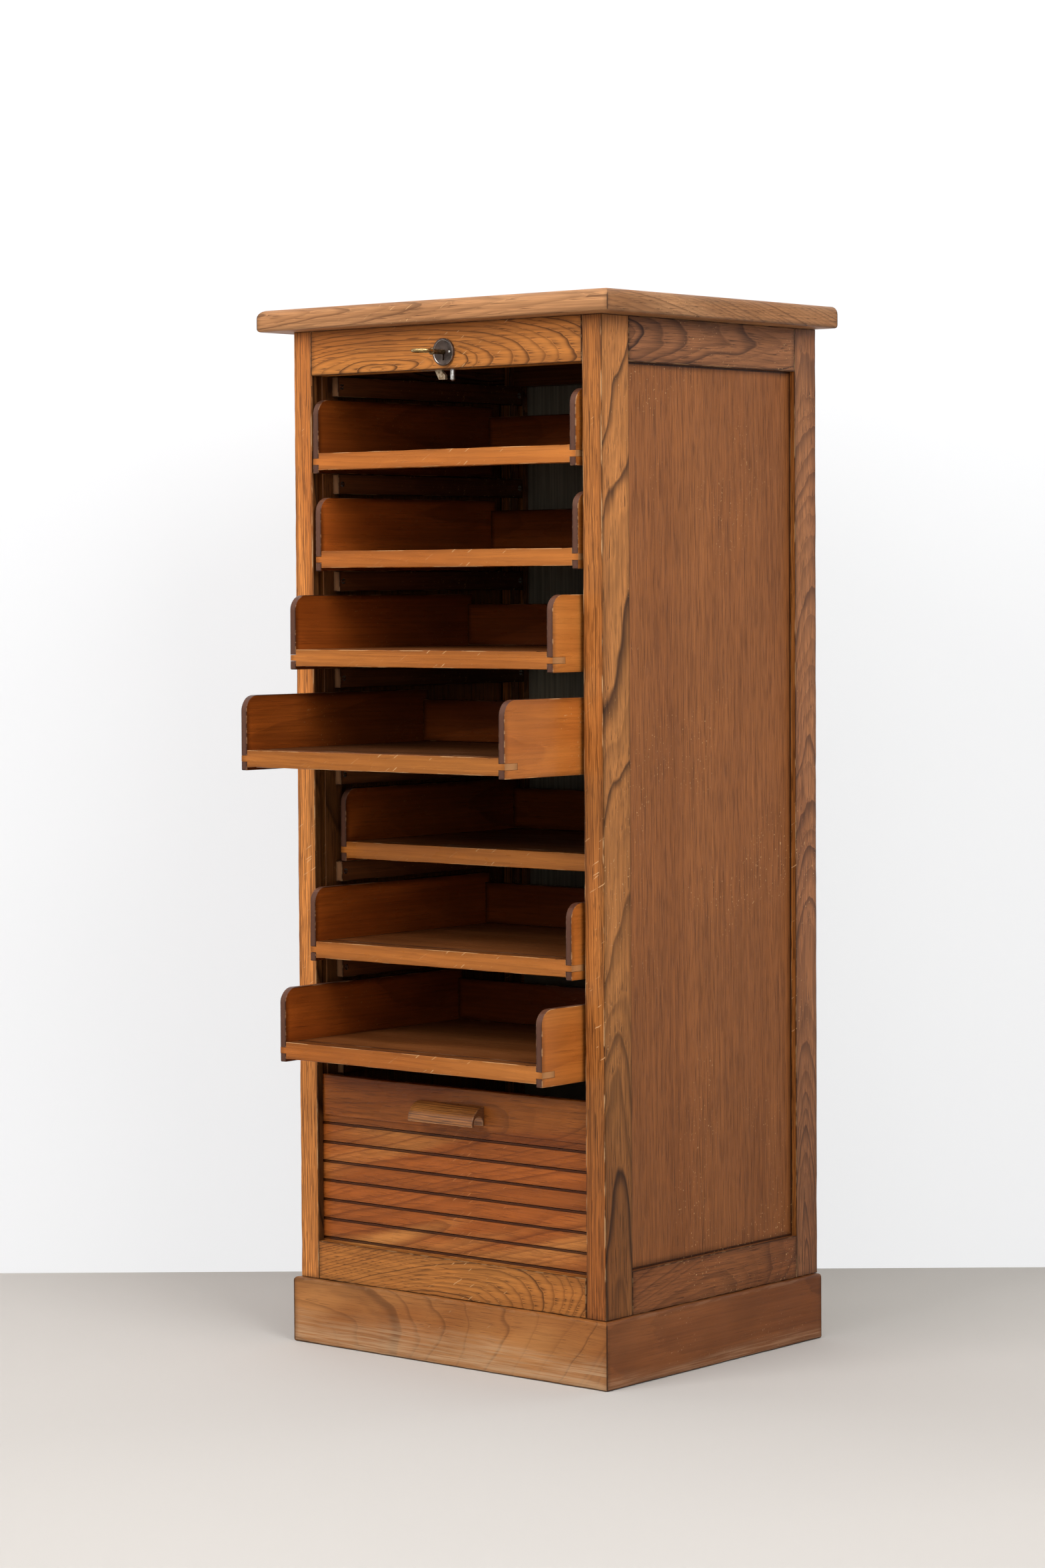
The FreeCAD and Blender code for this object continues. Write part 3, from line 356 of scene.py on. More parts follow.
@dataclass(frozen=True)
class WoodFinish:
    """A varnished wood, with its colours, its year rings and its wear."""

    name: str
    slot: str
    light: Colour
    mid: Colour
    dark: Colour
    end: Colour
    worn: Colour = (0.62, 0.36, 0.16)
    # Year rings: how far apart, how dark and how unequal they are, how narrow the dark line of each
    # is, and the share of a ring over which the line ends
    ring_gap: float = 4.0 * MM
    figure: float = 0.6
    bold: float = 0.5
    line: float = 2.2
    fall: float = 0.08
    # How far the rings wander over long and over middling lengths, and over short ones as a share of
    # the first
    wander: float = 9.0 * MM
    wave: float = 1.5 * MM
    ragged: float = 0.05
    # Pores: how dark they are, the noise at which they start, its waves per metre along and across
    # the grain, and how strong the pores stay in late wood
    pores: float = 0.7
    pore_level: float = 0.56
    pore_run: float = 24.0
    pore_fine: float = 1300.0
    late_pores: float = 0.5
    # Streaks of the fibres, the noise between light and mid wood, and how the rings draw in upwards
    streak: float = 0.16
    heart: Point = (0.32, 0.68)
    taper: float = 0.0
    # Rubbed arrises, dirt near the joints and in them, and how much of an edge a groove hides
    wear: float = 0.25
    grime: float = 0.4
    seam: float = 0.85
    hidden_edge: float = 0.0
    # Varnish
    roughness: float = 0.34
    specular: float = 0.17
    # Painted shade on the foot and painted light on the crown, as light falls from above, clouds, and a
    # bleached foot's height and colour
    foot: float = 0.0
    crown_painted_light: float = 0.0
    mottle: float = 0.14
    bleach_height: float = 0.0
    bleach: Colour = (0.56, 0.36, 0.20)

    def material(self, source: Source = Source.BOARD, along: Axis = Axis.Z) -> bpy.types.Material:
        """The finish as a material, made once for each way of placing its pattern.

        Args:
            source: Where the pattern takes its place from.
            along: The grain's direction, for a pattern on the object's coordinates.

        Returns:
            The material.
        """
        name = self.name if source is Source.BOARD else f"{self.name}_along_{along.name.lower()}"
        return bpy.data.materials.get(name) or self.laid_out(Nodes(name), source, along)

    def laid_out(self, nodes: Nodes, source: Source, along: Axis) -> bpy.types.Material:
        """Lay out the tree.

        Args:
            nodes: An empty tree.
            source: Where the pattern takes its place from.
            along: The grain's direction, for a pattern on the object's coordinates.

        Returns:
            The material.
        """
        place = self.grain_place(nodes, source, along)
        bent = self.bent(nodes, place)
        drift = nodes.scaled(nodes.vector("SUBTRACT", bent, place), 0.35)
        fibre = nodes.vector("ADD", nodes.attribute("fibre") if source is Source.BOARD else place, drift)
        colour, pore = self.figured(nodes, place, bent, fibre)
        cloudy = nodes.noise(place, (20, 60, 60))
        rough = nodes.ramp(cloudy, 0.3, 0.7, self.roughness - 0.05, self.roughness + 0.08)
        if source is Source.BOARD:
            colour, rough = self.aged(nodes, colour, rough)
        height = nodes.math("SUBTRACT", nodes.noise(fibre, (5, 500, 500), 1.0), pore)
        normal = nodes.bump(height, 0.35, 0.25 * MM)
        return nodes.surface(Base_Color=colour, Roughness=rough, Normal=normal,
                             Specular_IOR_Level=self.specular)

    @staticmethod
    def grain_place(nodes: Nodes, source: Source, along: Axis) -> bpy.types.NodeSocket:
        """The place in the log, with the grain along the first axis.

        Args:
            nodes: The tree.
            source: Where the pattern takes its place from.
            along: The grain's direction, for a pattern on the object's coordinates.

        Returns:
            The place's socket.
        """
        if source is Source.BOARD:
            return nodes.attribute("wood")
        here = nodes.parts(nodes.here())
        run = here.pop(along.value)
        return nodes.add("ShaderNodeCombineXYZ", {"X": run, "Y": here[0], "Z": here[1]}).outputs[0]

    def bent(self, nodes: Nodes, place: Input) -> bpy.types.NodeSocket:
        """The place after the wandering of a real trunk.

        Args:
            nodes: The tree.
            place: The place in a straight log.

        Returns:
            The shifted place's socket.
        """
        shifted = place = self.tapered(nodes, place)
        scales = (((2.6, 11, 11), self.wander), ((9, 24, 24), self.wave),
                  ((34, 130, 130), self.wander * self.ragged))
        for number, (stretch, reach) in enumerate(scales):
            cloud = nodes.noise(place, stretch, 1.0, "Color", number * 4.0)
            centred = nodes.vector("SUBTRACT", cloud, (0.5, 0.5, 0.5))
            shifted = nodes.vector("MULTIPLY_ADD", centred, (0.0, reach * 2, reach * 2), shifted)
        return shifted

    def tapered(self, nodes: Nodes, place: Input) -> Input:
        """The place in a log whose rings draw in along an upright board.

        Args:
            nodes: The tree.
            place: The place in a straight log.

        Returns:
            The place, or its shifted socket.
        """
        if not self.taper:
            return place
        height = nodes.parts(nodes.attribute("board"))[2]
        rise = nodes.math("MULTIPLY_ADD", height, self.taper, -self.taper / 2)
        return nodes.vector("ADD", place, nodes.add("ShaderNodeCombineXYZ", {"Z": rise}).outputs[0])

    def figured(self, nodes: Nodes, place: Input, bent: Input,
                fibre: Input) -> tuple[bpy.types.NodeSocket, bpy.types.NodeSocket]:
        """Colour of the clean wood: its tone, rings, fibres and pores.

        Args:
            nodes: The tree.
            place: The place in a straight log.
            bent: The place after its wandering.
            fibre: The place that runs with the board's length, for fibres and pores.

        Returns:
            The colour and the pores' mask.
        """
        radius = nodes.vector("LENGTH", nodes.vector("MULTIPLY", bent, (0.0, 1.0, 1.0)))
        uneven = nodes.math("MULTIPLY", nodes.line_noise(radius, 55.0), 2.2)
        turn = nodes.math("ADD", nodes.math("DIVIDE", radius, self.ring_gap), uneven)
        number = nodes.math("FLOOR", turn)
        part = nodes.math("FRACT", turn)
        chance = nodes.add("ShaderNodeTexWhiteNoise", {"W": number}, noise_dimensions="1D").outputs["Value"]
        strength = nodes.ramp(chance, 0.25, 0.95, 1.0 - self.bold, 1.0)
        rise = nodes.math("POWER", nodes.ramp(part, 0.05, 0.93), self.line)
        ring = nodes.product(rise, nodes.ramp(part, 1.0 - self.fall, 1.0, 1.0, 0.0), strength, self.figure)
        tone = nodes.ramp(nodes.noise(place, (1.6, 14, 14), 2.0, seed=9.0), *self.heart)
        colour = nodes.mix(ring, nodes.mix(tone, self.light, self.mid), self.dark)
        streak = nodes.ramp(nodes.noise(fibre, (5, 380, 380), 3.0), 0.34, 0.66, 1.0 - self.streak,
                            1.0 + self.streak * 0.8)
        colour = nodes.scaled(colour, streak)
        early = nodes.ramp(part, 0.02, 0.5, 1.0, self.late_pores)
        grains = nodes.noise(fibre, (self.pore_run, self.pore_fine, self.pore_fine), 1.5, seed=3.0)
        open_pores = nodes.ramp(grains, self.pore_level, self.pore_level + 0.05)
        pore = nodes.product(open_pores, early, self.pores)
        return nodes.mix(pore, colour, tuple(value * 0.8 for value in self.dark)), pore

    def aged(self, nodes: Nodes, colour: Input,
             rough: Input) -> tuple[bpy.types.NodeSocket, bpy.types.NodeSocket]:
        """Add clouds, painted shade and light by height, a bleached foot, end grain, dirt, painted shade in
        recesses, worn arrises and knocks.

        Args:
            nodes: The tree.
            colour: The clean wood's colour.
            rough: The clean wood's roughness.

        Returns:
            The aged colour and roughness.
        """
        board = nodes.attribute("board")
        cloud = nodes.noise(board, (9, 9, 9), 3.0, seed=2.0)
        colour = self.shaded(nodes, colour, board, cloud)
        if self.bleach_height:
            bare = self.bare_foot(nodes, board)
            colour = nodes.mix(bare, colour, self.bleach)
            rough = nodes.math("MULTIPLY_ADD", bare, 0.3, rough)
        end = nodes.attribute("end", "Fac")
        colour = nodes.mix(nodes.math("MULTIPLY", end, 0.75), colour, self.end)
        dirt_and_shade = tuple(value * DIRT_AND_SHADE_SHARE for value in self.dark)
        colour = nodes.mix(self.joint_dirt(nodes, board, cloud), colour, dirt_and_shade)
        arris = nodes.attribute("arris", "Fac")
        patchy = nodes.ramp(nodes.noise(nodes.attribute("wood"), (26, 160, 160), 5.0, seed=7.0), 0.50, 0.60)
        rubbed = nodes.product(arris, patchy, self.wear)
        colour = nodes.mix(rubbed, colour, self.worn)
        marks = nodes.math("MAXIMUM", self.nicks(nodes, board), self.scratches(nodes, board))
        colour = nodes.mix(marks, colour, self.worn)
        # Painted shade in recesses: the posts' grooves and inner faces, the line under each slat's bead and
        # the plinth's foot
        painted_recess_shade = nodes.math("MULTIPLY", nodes.attribute("dirt", "Fac"), 0.85)
        colour = nodes.mix(painted_recess_shade, colour, dirt_and_shade)
        rough = nodes.math("MULTIPLY_ADD", nodes.math("MAXIMUM", rubbed, end), 0.15, rough)
        return colour, rough

    def shaded(self, nodes: Nodes, colour: Input, board: Input, cloud: Input) -> bpy.types.NodeSocket:
        """Shade the wood in clouds, with painted shade towards the foot and painted light towards the crown,
        and by the board's tone.

        Args:
            nodes: The tree.
            colour: The clean wood's colour.
            board: The place on the board.
            cloud: The noise that the clouds follow.

        Returns:
            The shaded colour's socket.
        """
        colour = nodes.scaled(colour, nodes.ramp(cloud, 0.3, 0.7, 1.0 - self.mottle, 1.0 + self.mottle / 2))
        # Painted shade darkens the lower part of the board and painted light pales its top
        if self.foot:
            height = nodes.parts(board)[2]
            shade = nodes.ramp(height, 0.05, 0.55, 1.0 - self.foot, 1.0)
            painted_lift = nodes.ramp(height, 0.6, 1.0, 0.0, self.crown_painted_light)
            colour = nodes.scaled(colour, nodes.math("ADD", shade, painted_lift))
        tone = nodes.attribute("tone", "Fac")
        return nodes.scaled(colour, nodes.math("MULTIPLY_ADD", tone, TONE_STEP, 1.0))

    def bare_foot(self, nodes: Nodes, board: Input) -> bpy.types.NodeSocket:
        """Where the foot of a board has lost its varnish, in streaks.

        Args:
            nodes: The tree.
            board: The place on the board.

        Returns:
            The mask's socket.
        """
        height = nodes.parts(board)[2]
        uneven = nodes.noise(board, (9, 9, 40), 3.0)
        ragged = nodes.math("MULTIPLY_ADD", uneven, self.bleach_height, height)
        streak = nodes.ramp(nodes.noise(board, (16, 16, 620), 4.0, seed=5.0), 0.36, 0.64, 0.25, 1.0)
        fade = nodes.ramp(ragged, self.bleach_height * 0.7, self.bleach_height * 1.4, 0.62, 0.0)
        return nodes.math("MULTIPLY", fade, streak)

    def joint_dirt(self, nodes: Nodes, board: Input, cloud: Input) -> bpy.types.NodeSocket:
        """Dirt round a board's edges, and darker still in the joints themselves.

        Args:
            nodes: The tree.
            board: The place on the board.
            cloud: The noise that the wider dirt follows.

        Returns:
            The mask's socket.
        """
        near = nodes.math("SUBTRACT", nodes.edge_distance(board), self.hidden_edge)
        joint = nodes.ramp(near, 0.0, 8.0 * MM, self.grime, 0.0)
        wide = nodes.math("MULTIPLY", joint, nodes.ramp(cloud, 0.35, 0.6, 0.25, 1.0))
        return nodes.math("MAXIMUM", wide, nodes.ramp(near, 0.5 * MM, 1.8 * MM, self.seam, 0.0))

    @staticmethod
    def nicks(nodes: Nodes, board: Input) -> bpy.types.NodeSocket:
        """Small pale knocks, few and far between.

        Args:
            nodes: The tree.
            board: The place on the board.

        Returns:
            The mask's socket.
        """
        cells = nodes.add("ShaderNodeTexVoronoi", {"Vector": board, "Scale": 14.0})
        close = nodes.ramp(cells.outputs["Distance"], 0.012, 0.028, 1.0, 0.0)
        chosen = nodes.math("GREATER_THAN", nodes.parts(cells.outputs["Color"])[0], 0.8)
        return nodes.product(close, chosen, 0.75)

    @staticmethod
    def scratches(nodes: Nodes, board: Input) -> bpy.types.NodeSocket:
        """A few hair-thin pale scratches across the grain.

        Args:
            nodes: The tree.
            board: The place on the board.

        Returns:
            The mask's socket.
        """
        askew = {"Vector": board, "Rotation": (0.9, 0.5, 0.35)}
        lines = nodes.noise(nodes.add("ShaderNodeMapping", askew).outputs[0], (9, 520, 520), 0.5, seed=11.0)
        thin = nodes.ramp(lines, 0.735, 0.775)
        patches = nodes.ramp(nodes.noise(board, (7, 7, 7), 1.0, seed=12.0), 0.5, 0.62)
        return nodes.product(thin, patches, 0.7)


@dataclass(frozen=True)
class PlainFinish:
    """A finish that takes its pattern's place from the object's coordinates."""

    name: str
    slot: str

    def material(self) -> bpy.types.Material:
        """The finish as a material, made once."""
        return bpy.data.materials.get(self.name) or self.laid_out(Nodes(self.name))

    def laid_out(self, nodes: Nodes) -> bpy.types.Material:
        """Lay out the tree, which each kind of finish does in its own way."""
        raise NotImplementedError


@dataclass(frozen=True)
class MetalFinish(PlainFinish):
    """A metal with rubbed high spots and dull low ones."""

    bright: Colour
    dull: Colour
    metallic: float = 1.0
    roughness: float = 0.3
    speckle: float = 350.0

    def laid_out(self, nodes: Nodes) -> bpy.types.Material:
        """Lay out the tree.

        Args:
            nodes: An empty tree.

        Returns:
            The material.
        """
        place = nodes.here()
        cloud = nodes.ramp(nodes.noise(place, (self.speckle,) * 3, 4.0), 0.38, 0.64)
        fine = nodes.noise(place, (self.speckle * 4,) * 3, 2.0, seed=3.0)
        colour = nodes.mix(cloud, self.bright, self.dull)
        rough = nodes.math("MULTIPLY_ADD", cloud, 0.25, self.roughness)
        normal = nodes.bump(fine, 0.25, 0.1 * MM)
        return nodes.surface(Base_Color=colour, Roughness=rough, Metallic=self.metallic, Normal=normal)


@dataclass(frozen=True)
class ClothFinish(PlainFinish):
    """Coarse linen canvas, soaked with glue in places."""

    thread: Colour
    gap: Colour
    threads: float = 1400.0

    def laid_out(self, nodes: Nodes) -> bpy.types.Material:
        """Lay out the tree: threads along the width and across it.

        Args:
            nodes: An empty tree.

        Returns:
            The material.
        """
        x, y, z = nodes.parts(nodes.here())
        turn = math.tau * self.threads
        warp = nodes.math("ABSOLUTE", nodes.math("SINE", nodes.math("MULTIPLY", x, turn)))
        run = nodes.math("ADD", y, z)
        weft = nodes.math("ABSOLUTE", nodes.math("SINE", nodes.math("MULTIPLY", run, turn)))
        weave = nodes.math("MULTIPLY", warp, weft)
        stain = nodes.ramp(nodes.noise(nodes.here(), (14, 14, 14), 3.0), 0.35, 0.65, 0.75, 1.05)
        colour = nodes.scaled(nodes.mix(weave, self.gap, self.thread), stain)
        return nodes.surface(Base_Color=colour, Roughness=0.9, Normal=nodes.bump(weave, 0.5, 0.2 * MM))


@dataclass(frozen=True)
class PlyFinish(PlainFinish):
    """Thin painted plywood, with the grain of its face showing through."""

    light: Colour
    dark: Colour

    def laid_out(self, nodes: Nodes) -> bpy.types.Material:
        """Lay out the tree.

        Args:
            nodes: An empty tree.

        Returns:
            The material.
        """
        place = nodes.here()
        streak = nodes.ramp(nodes.noise(place, (420, 420, 9), 3.0), 0.35, 0.65)
        band = nodes.ramp(nodes.noise(place, (22, 22, 1.4), 2.0, seed=6.0), 0.35, 0.65, 0.8, 1.1)
        stain = nodes.ramp(nodes.noise(place, (5, 5, 5), 4.0, seed=8.0), 0.35, 0.7, 0.8, 1.05)
        colour = nodes.scaled(nodes.scaled(nodes.mix(streak, self.light, self.dark), band), stain)
        return nodes.surface(Base_Color=colour, Roughness=0.62, Normal=nodes.bump(streak, 0.3, 0.2 * MM))


Finish = WoodFinish | PlainFinish

# The colours of a wood are its light, its middle and its dark one, then its end grain's
POST = WoodFinish(
    "post_grain", "carcass_wood", (0.55, 0.205, 0.048), (0.40, 0.122, 0.024), (0.10, 0.030, 0.008),
    (0.16, 0.060, 0.020), worn=(0.72, 0.42, 0.20), figure=0.8, bold=0.6, line=1.8, ring_gap=2.9 * MM,
    wander=6 * MM, pores=0.95, pore_level=0.52, wear=0.6, foot=0.08)
BOLD = WoodFinish(
    "bold_grain", "carcass_wood", (0.48, 0.195, 0.056), (0.31, 0.108, 0.029), (0.026, 0.010, 0.005),
    (0.13, 0.050, 0.020), figure=0.94, bold=0.88, line=2.4, ring_gap=6.2 * MM, wander=16 * MM,
    wave=5.5 * MM, ragged=0.03, fall=0.16, taper=0.07, pore_level=0.54, foot=0.34, crown_painted_light=0.28,
    specular=0.12)
STILE_SIDE = WoodFinish(
    "stile_grain", "carcass_wood", (0.40, 0.165, 0.064), (0.29, 0.108, 0.042), (0.045, 0.017, 0.011),
    (0.13, 0.050, 0.020), figure=0.72, bold=0.6, line=1.8, ring_gap=3.6 * MM, wander=12 * MM,
    wave=4 * MM, ragged=0.06, taper=0.11, pore_level=0.54, foot=0.2, specular=0.14)
FIGURED = WoodFinish(
    "figured_grain", "carcass_wood", (0.31, 0.125, 0.050), (0.19, 0.070, 0.028), (0.020, 0.008, 0.006),
    (0.13, 0.050, 0.020), figure=0.95, bold=0.85, line=1.8, ring_gap=5.0 * MM, wander=18 * MM,
    wave=8 * MM, ragged=0.045, fall=0.14, pores=0.65, pore_level=0.55, specular=0.12)
RAIL = WoodFinish(
    "rail_grain", "carcass_wood", (0.58, 0.215, 0.046), (0.46, 0.152, 0.029), (0.055, 0.016, 0.004),
    (0.16, 0.060, 0.020), figure=0.9, line=9.0, ring_gap=3.8 * MM, wander=7 * MM, wave=3.2 * MM,
    ragged=0.08, pores=0.75, pore_level=0.53, late_pores=0.1, wear=0.3)
EDGING = WoodFinish(
    "edging_grain", "carcass_wood", (0.52, 0.255, 0.110), (0.39, 0.172, 0.066), (0.09, 0.032, 0.012),
    (0.25, 0.11, 0.05), figure=0.7, bold=0.6, line=3.2, wander=8 * MM, ragged=0.07, late_pores=0.2,
    pores=0.75, pore_level=0.54, wear=0.2, roughness=0.47, specular=0.16)
TOP_VENEER = WoodFinish(
    "top_veneer_grain", "panel_veneer", (0.46, 0.190, 0.058), (0.36, 0.132, 0.036), (0.09, 0.032, 0.012),
    (0.25, 0.11, 0.05), figure=0.7, bold=0.6, line=3.2, wander=7 * MM, pores=0.6, wear=0.2,
    roughness=0.52, specular=0.18)
SIDE_FOOT = WoodFinish(
    "side_foot_grain", "carcass_wood", (0.27, 0.095, 0.030), (0.185, 0.060, 0.018), (0.040, 0.013, 0.006),
    (0.13, 0.050, 0.020), figure=0.5, bold=0.7, line=2.4, ring_gap=6.0 * MM, wander=12 * MM,
    wave=4 * MM, ragged=0.06, pores=0.65, pore_level=0.55, specular=0.12)
# The dark line where the frame's grooves hide its edges is dirt and also painted shade of the gap between
# panel and frame
VENEER = WoodFinish(
    "panel_grain", "panel_veneer", (0.325, 0.115, 0.034), (0.285, 0.096, 0.027), (0.070, 0.021, 0.008),
    (0.14, 0.055, 0.025), figure=0.45, bold=0.7, line=2.0, ring_gap=1.7 * MM, wander=4 * MM,
    ragged=0.06, pores=0.9, pore_level=0.53, pore_fine=2300.0, streak=0.09, heart=(0.2, 0.8),
    mottle=0.07, foot=0.14, wear=0.0, grime=0.55, seam=0.9, hidden_edge=8.6 * MM, specular=0.12)
SHUTTER_WOOD = WoodFinish(
    "slat_grain", "shutter_wood", (0.62, 0.250, 0.062), (0.345, 0.090, 0.016), (0.10, 0.022, 0.005),
    (0.14, 0.045, 0.015), worn=(0.50, 0.19, 0.06), figure=0.55, bold=0.75, line=2.6, ring_gap=7 * MM,
    wander=16 * MM, wave=4 * MM, pores=0.6, heart=(0.33, 0.50), wear=0.2, seam=0.3, roughness=0.28,
    streak=0.09)
LEAD_WOOD = WoodFinish(
    "lead_rail_grain", "shutter_wood", (0.36, 0.108, 0.020), (0.23, 0.055, 0.010), (0.07, 0.017, 0.005),
    (0.10, 0.035, 0.015), worn=(0.34, 0.14, 0.06), figure=0.45, bold=0.75, line=3.0, wander=10 * MM,
    wave=3 * MM, pores=0.6, heart=(0.30, 0.55), wear=0.2, seam=0.3, roughness=0.27, specular=0.18,
    streak=0.12)
TRAY_WOOD = WoodFinish(
    "tray_outer_grain", "tray_wood", (0.52, 0.180, 0.036), (0.40, 0.118, 0.020), (0.20, 0.050, 0.009),
    (0.44, 0.215, 0.085), figure=0.3, bold=0.6, ring_gap=8 * MM, wander=12 * MM, pores=0.35,
    pore_level=0.59, wear=0.6, grime=0.5, seam=0.25, roughness=0.30, streak=0.07)
TRAY_EDGE = WoodFinish(
    "tray_edge_grain", "tray_wood", (0.15, 0.062, 0.034), (0.10, 0.038, 0.022), (0.05, 0.018, 0.011),
    (0.12, 0.05, 0.03), worn=(0.30, 0.15, 0.08), figure=0.3, bold=0.6, ring_gap=6 * MM,
    wander=12 * MM, pores=0.4, pore_level=0.6, wear=0.5, streak=0.08)
# The insides of the trays: the outer wood darkened by painted shade
TRAY_INSIDE_SHADED = WoodFinish(
    "tray_inner_shaded_grain", "tray_wood", (0.33, 0.075, 0.010), (0.20, 0.040, 0.005), (0.08, 0.016, 0.003),
    (0.12, 0.042, 0.018), worn=(0.42, 0.20, 0.08), figure=0.35, bold=0.6, ring_gap=8 * MM,
    wander=12 * MM, pores=0.45, pore_level=0.59, wear=0.4, grime=0.8, roughness=0.30, streak=0.10)
TRAY_FLOOR = WoodFinish(
    "tray_floor_grain", "tray_wood", (0.22, 0.072, 0.019), (0.155, 0.047, 0.011), (0.08, 0.021, 0.006),
    (0.12, 0.042, 0.018), worn=(0.34, 0.17, 0.08), figure=0.3, bold=0.6, ring_gap=9 * MM,
    wander=14 * MM, pores=0.45, pore_level=0.59, wear=0.4, grime=0.8, roughness=0.38, streak=0.08)
RUNNER_WOOD = WoodFinish(
    "runner_grain", "runner_wood", (0.20, 0.070, 0.022), (0.14, 0.044, 0.013), (0.06, 0.017, 0.006),
    (0.32, 0.155, 0.07), figure=0.35, ring_gap=5 * MM, pores=0.5, wear=0.3)
PLINTH_WOOD = WoodFinish(
    "plinth_grain", "plinth_wood", (0.43, 0.178, 0.052), (0.33, 0.115, 0.028), (0.085, 0.030, 0.010),
    (0.20, 0.085, 0.035), worn=(0.40, 0.20, 0.09), bold=0.7, line=14.0, ring_gap=16 * MM,
    wave=7 * MM, pores=0.45, pore_level=0.58, wear=0.2, bleach_height=50 * MM, streak=0.07)
PLINTH_SIDE = WoodFinish(
    "plinth_side_grain", "plinth_wood", (0.235, 0.078, 0.022), (0.165, 0.050, 0.013), (0.06, 0.018, 0.007),
    (0.16, 0.065, 0.025), worn=(0.36, 0.18, 0.09), figure=0.4, bold=0.8, line=3.0, ring_gap=9 * MM,
    wander=18 * MM, pores=0.4, pore_level=0.6, specular=0.14, bleach_height=22 * MM,
    bleach=(0.40, 0.22, 0.12), streak=0.09)
PLAIN_WOOD = WoodFinish(
    "unfinished_grain", "plain_wood", (0.46, 0.29, 0.13), (0.37, 0.215, 0.09), (0.20, 0.10, 0.04),
    (0.36, 0.22, 0.12), figure=0.4, pores=0.1, roughness=0.6)
PULL_WOOD = WoodFinish(
    "pull_grain", "shutter_wood", (0.60, 0.235, 0.055), (0.36, 0.120, 0.028), (0.045, 0.015, 0.007),
    (0.15, 0.06, 0.025), worn=(0.55, 0.28, 0.11), figure=0.8, line=1.6, ring_gap=2.6 * MM,
    wander=6 * MM, pore_level=0.55, wear=0.4, seam=0.2, roughness=0.22, specular=0.5)
PLY = PlyFinish("painted_ply", "back_plywood", (0.40, 0.35, 0.255), (0.27, 0.235, 0.165))
CANVAS = ClothFinish("glued_linen", "canvas", (0.50, 0.44, 0.33), (0.27, 0.22, 0.15))
STEEL = MetalFinish("plain_steel", "steel", (0.58, 0.57, 0.55), (0.34, 0.32, 0.29), roughness=0.22)
BRONZED = MetalFinish(
    "bronzed_plate", "dark_metal", (0.10, 0.070, 0.056), (0.038, 0.027, 0.022), metallic=0.75,
    roughness=0.34, speckle=120.0)
RUBBED_RIM = MetalFinish(
    "rubbed_rim", "dark_metal", (0.30, 0.25, 0.22), (0.12, 0.09, 0.075), metallic=0.85,
    roughness=0.24, speckle=160.0)
BRASS = MetalFinish("worn_brass", "brass", (0.52, 0.37, 0.16), (0.24, 0.16, 0.07), roughness=0.26)
DARK_BRASS = MetalFinish("dark_brass", "brass", (0.26, 0.18, 0.09), (0.11, 0.075, 0.04))
CHIPPED = MetalFinish(
    "chipped_plating", "brass", (0.50, 0.39, 0.26), (0.20, 0.12, 0.06), metallic=0.45, roughness=0.4,
    speckle=260.0)


# Shapes


@dataclass(frozen=True)
class Cut:
    """How a board was cut from its log.

    The pith lies off to one side of the board's middle, and leans and skews along its length. The
    tone makes the board paler than its neighbours, or darker where it is below 0.
    """

    along: Axis
    pith_side: Axis
    pith: float = 80 * MM
    off: float = 0.0
    lean: float = 0.03
    skew: float = 0.0
    seed: int = 0
    tone: float = 0.0

    def split(self, point: Vector, middle: Vector) -> Triple:
        """How far a point is from the middle along the grain, across it and towards the pith.

        Args:
            point: The point.
            middle: The board's middle.

        Returns:
            The three distances.
        """
        near = point - middle
        across = next(axis for axis in Axis if axis not in (self.along, self.pith_side))
        return near[self.along.value], near[across.value], near[self.pith_side.value]

    def fibre_place(self, point: Vector, middle: Vector) -> Triple:
        """A point's place along the board's length and across it."""
        run, across, depth = self.split(point, middle)
        return run + self.seed * 0.83, across + self.seed * 0.83, depth

    def wood_place(self, point: Vector, middle: Vector) -> Triple:
        """A point's place in the log.

        Args:
            point: The point.
            middle: The board's middle.

        Returns:
            The run along the grain, then the two distances from the pith.
        """
        run, across, depth = self.split(point, middle)
        side = across - self.off - self.skew * run
        return run + self.seed * 1.37, side, depth + self.pith + self.lean * run


def placed(axis: Axis, along: float, u: float, v: float) -> Triple:
    """A point from its run along an axis and its two places across it, in x, y, z order."""
    return {Axis.X: (along, u, v), Axis.Y: (u, along, v), Axis.Z: (u, v, along)}[axis]


def arc(centre: Point, radius: float, start: float, end: float, steps: int) -> list[Point]:
    """Points on an arc.

    Args:
        centre: Its centre.
        radius: Its radius.
        start: Its first angle in degrees.
        end: Its last angle in degrees.
        steps: How many parts it has.

    Returns:
        The points, both ends included.
    """
    angles = [math.radians(start + (end - start) * step / steps) for step in range(steps + 1)]
    return [(centre[0] + radius * math.cos(angle), centre[1] + radius * math.sin(angle)) for angle in angles]


def block(low: Vector, high: Vector) -> BMesh:
    """A box between two corners.

    Args:
        low: Its low corner.
        high: Its high corner.

    Returns:
        The shape.
    """
    shape = bmesh.new()
    bmesh.ops.create_cube(shape, size=1.0)
    bmesh.ops.scale(shape, vec=high - low, verts=shape.verts)
    bmesh.ops.translate(shape, vec=(low + high) / 2, verts=shape.verts)
    return shape


def prism(outline: Sequence[Point], axis: Axis, low: float, high: float) -> BMesh:
    """A closed outline carried along an axis.

    Args:
        outline: Its corners.
        axis: The direction it is carried in.
        low: Where it starts.
        high: Where it ends.

    Returns:
        The shape.
    """
    shape = bmesh.new()
    face = shape.faces.new([shape.verts.new(placed(axis, low, u, v)) for u, v in outline])
    grown = bmesh.ops.extrude_face_region(shape, geom=[face])["geom"]
    moved = [item for item in grown if isinstance(item, bmesh.types.BMVert)]
    bmesh.ops.translate(shape, vec=placed(axis, high - low, 0.0, 0.0), verts=moved)
    bmesh.ops.recalc_face_normals(shape, faces=shape.faces[:])
    return shape


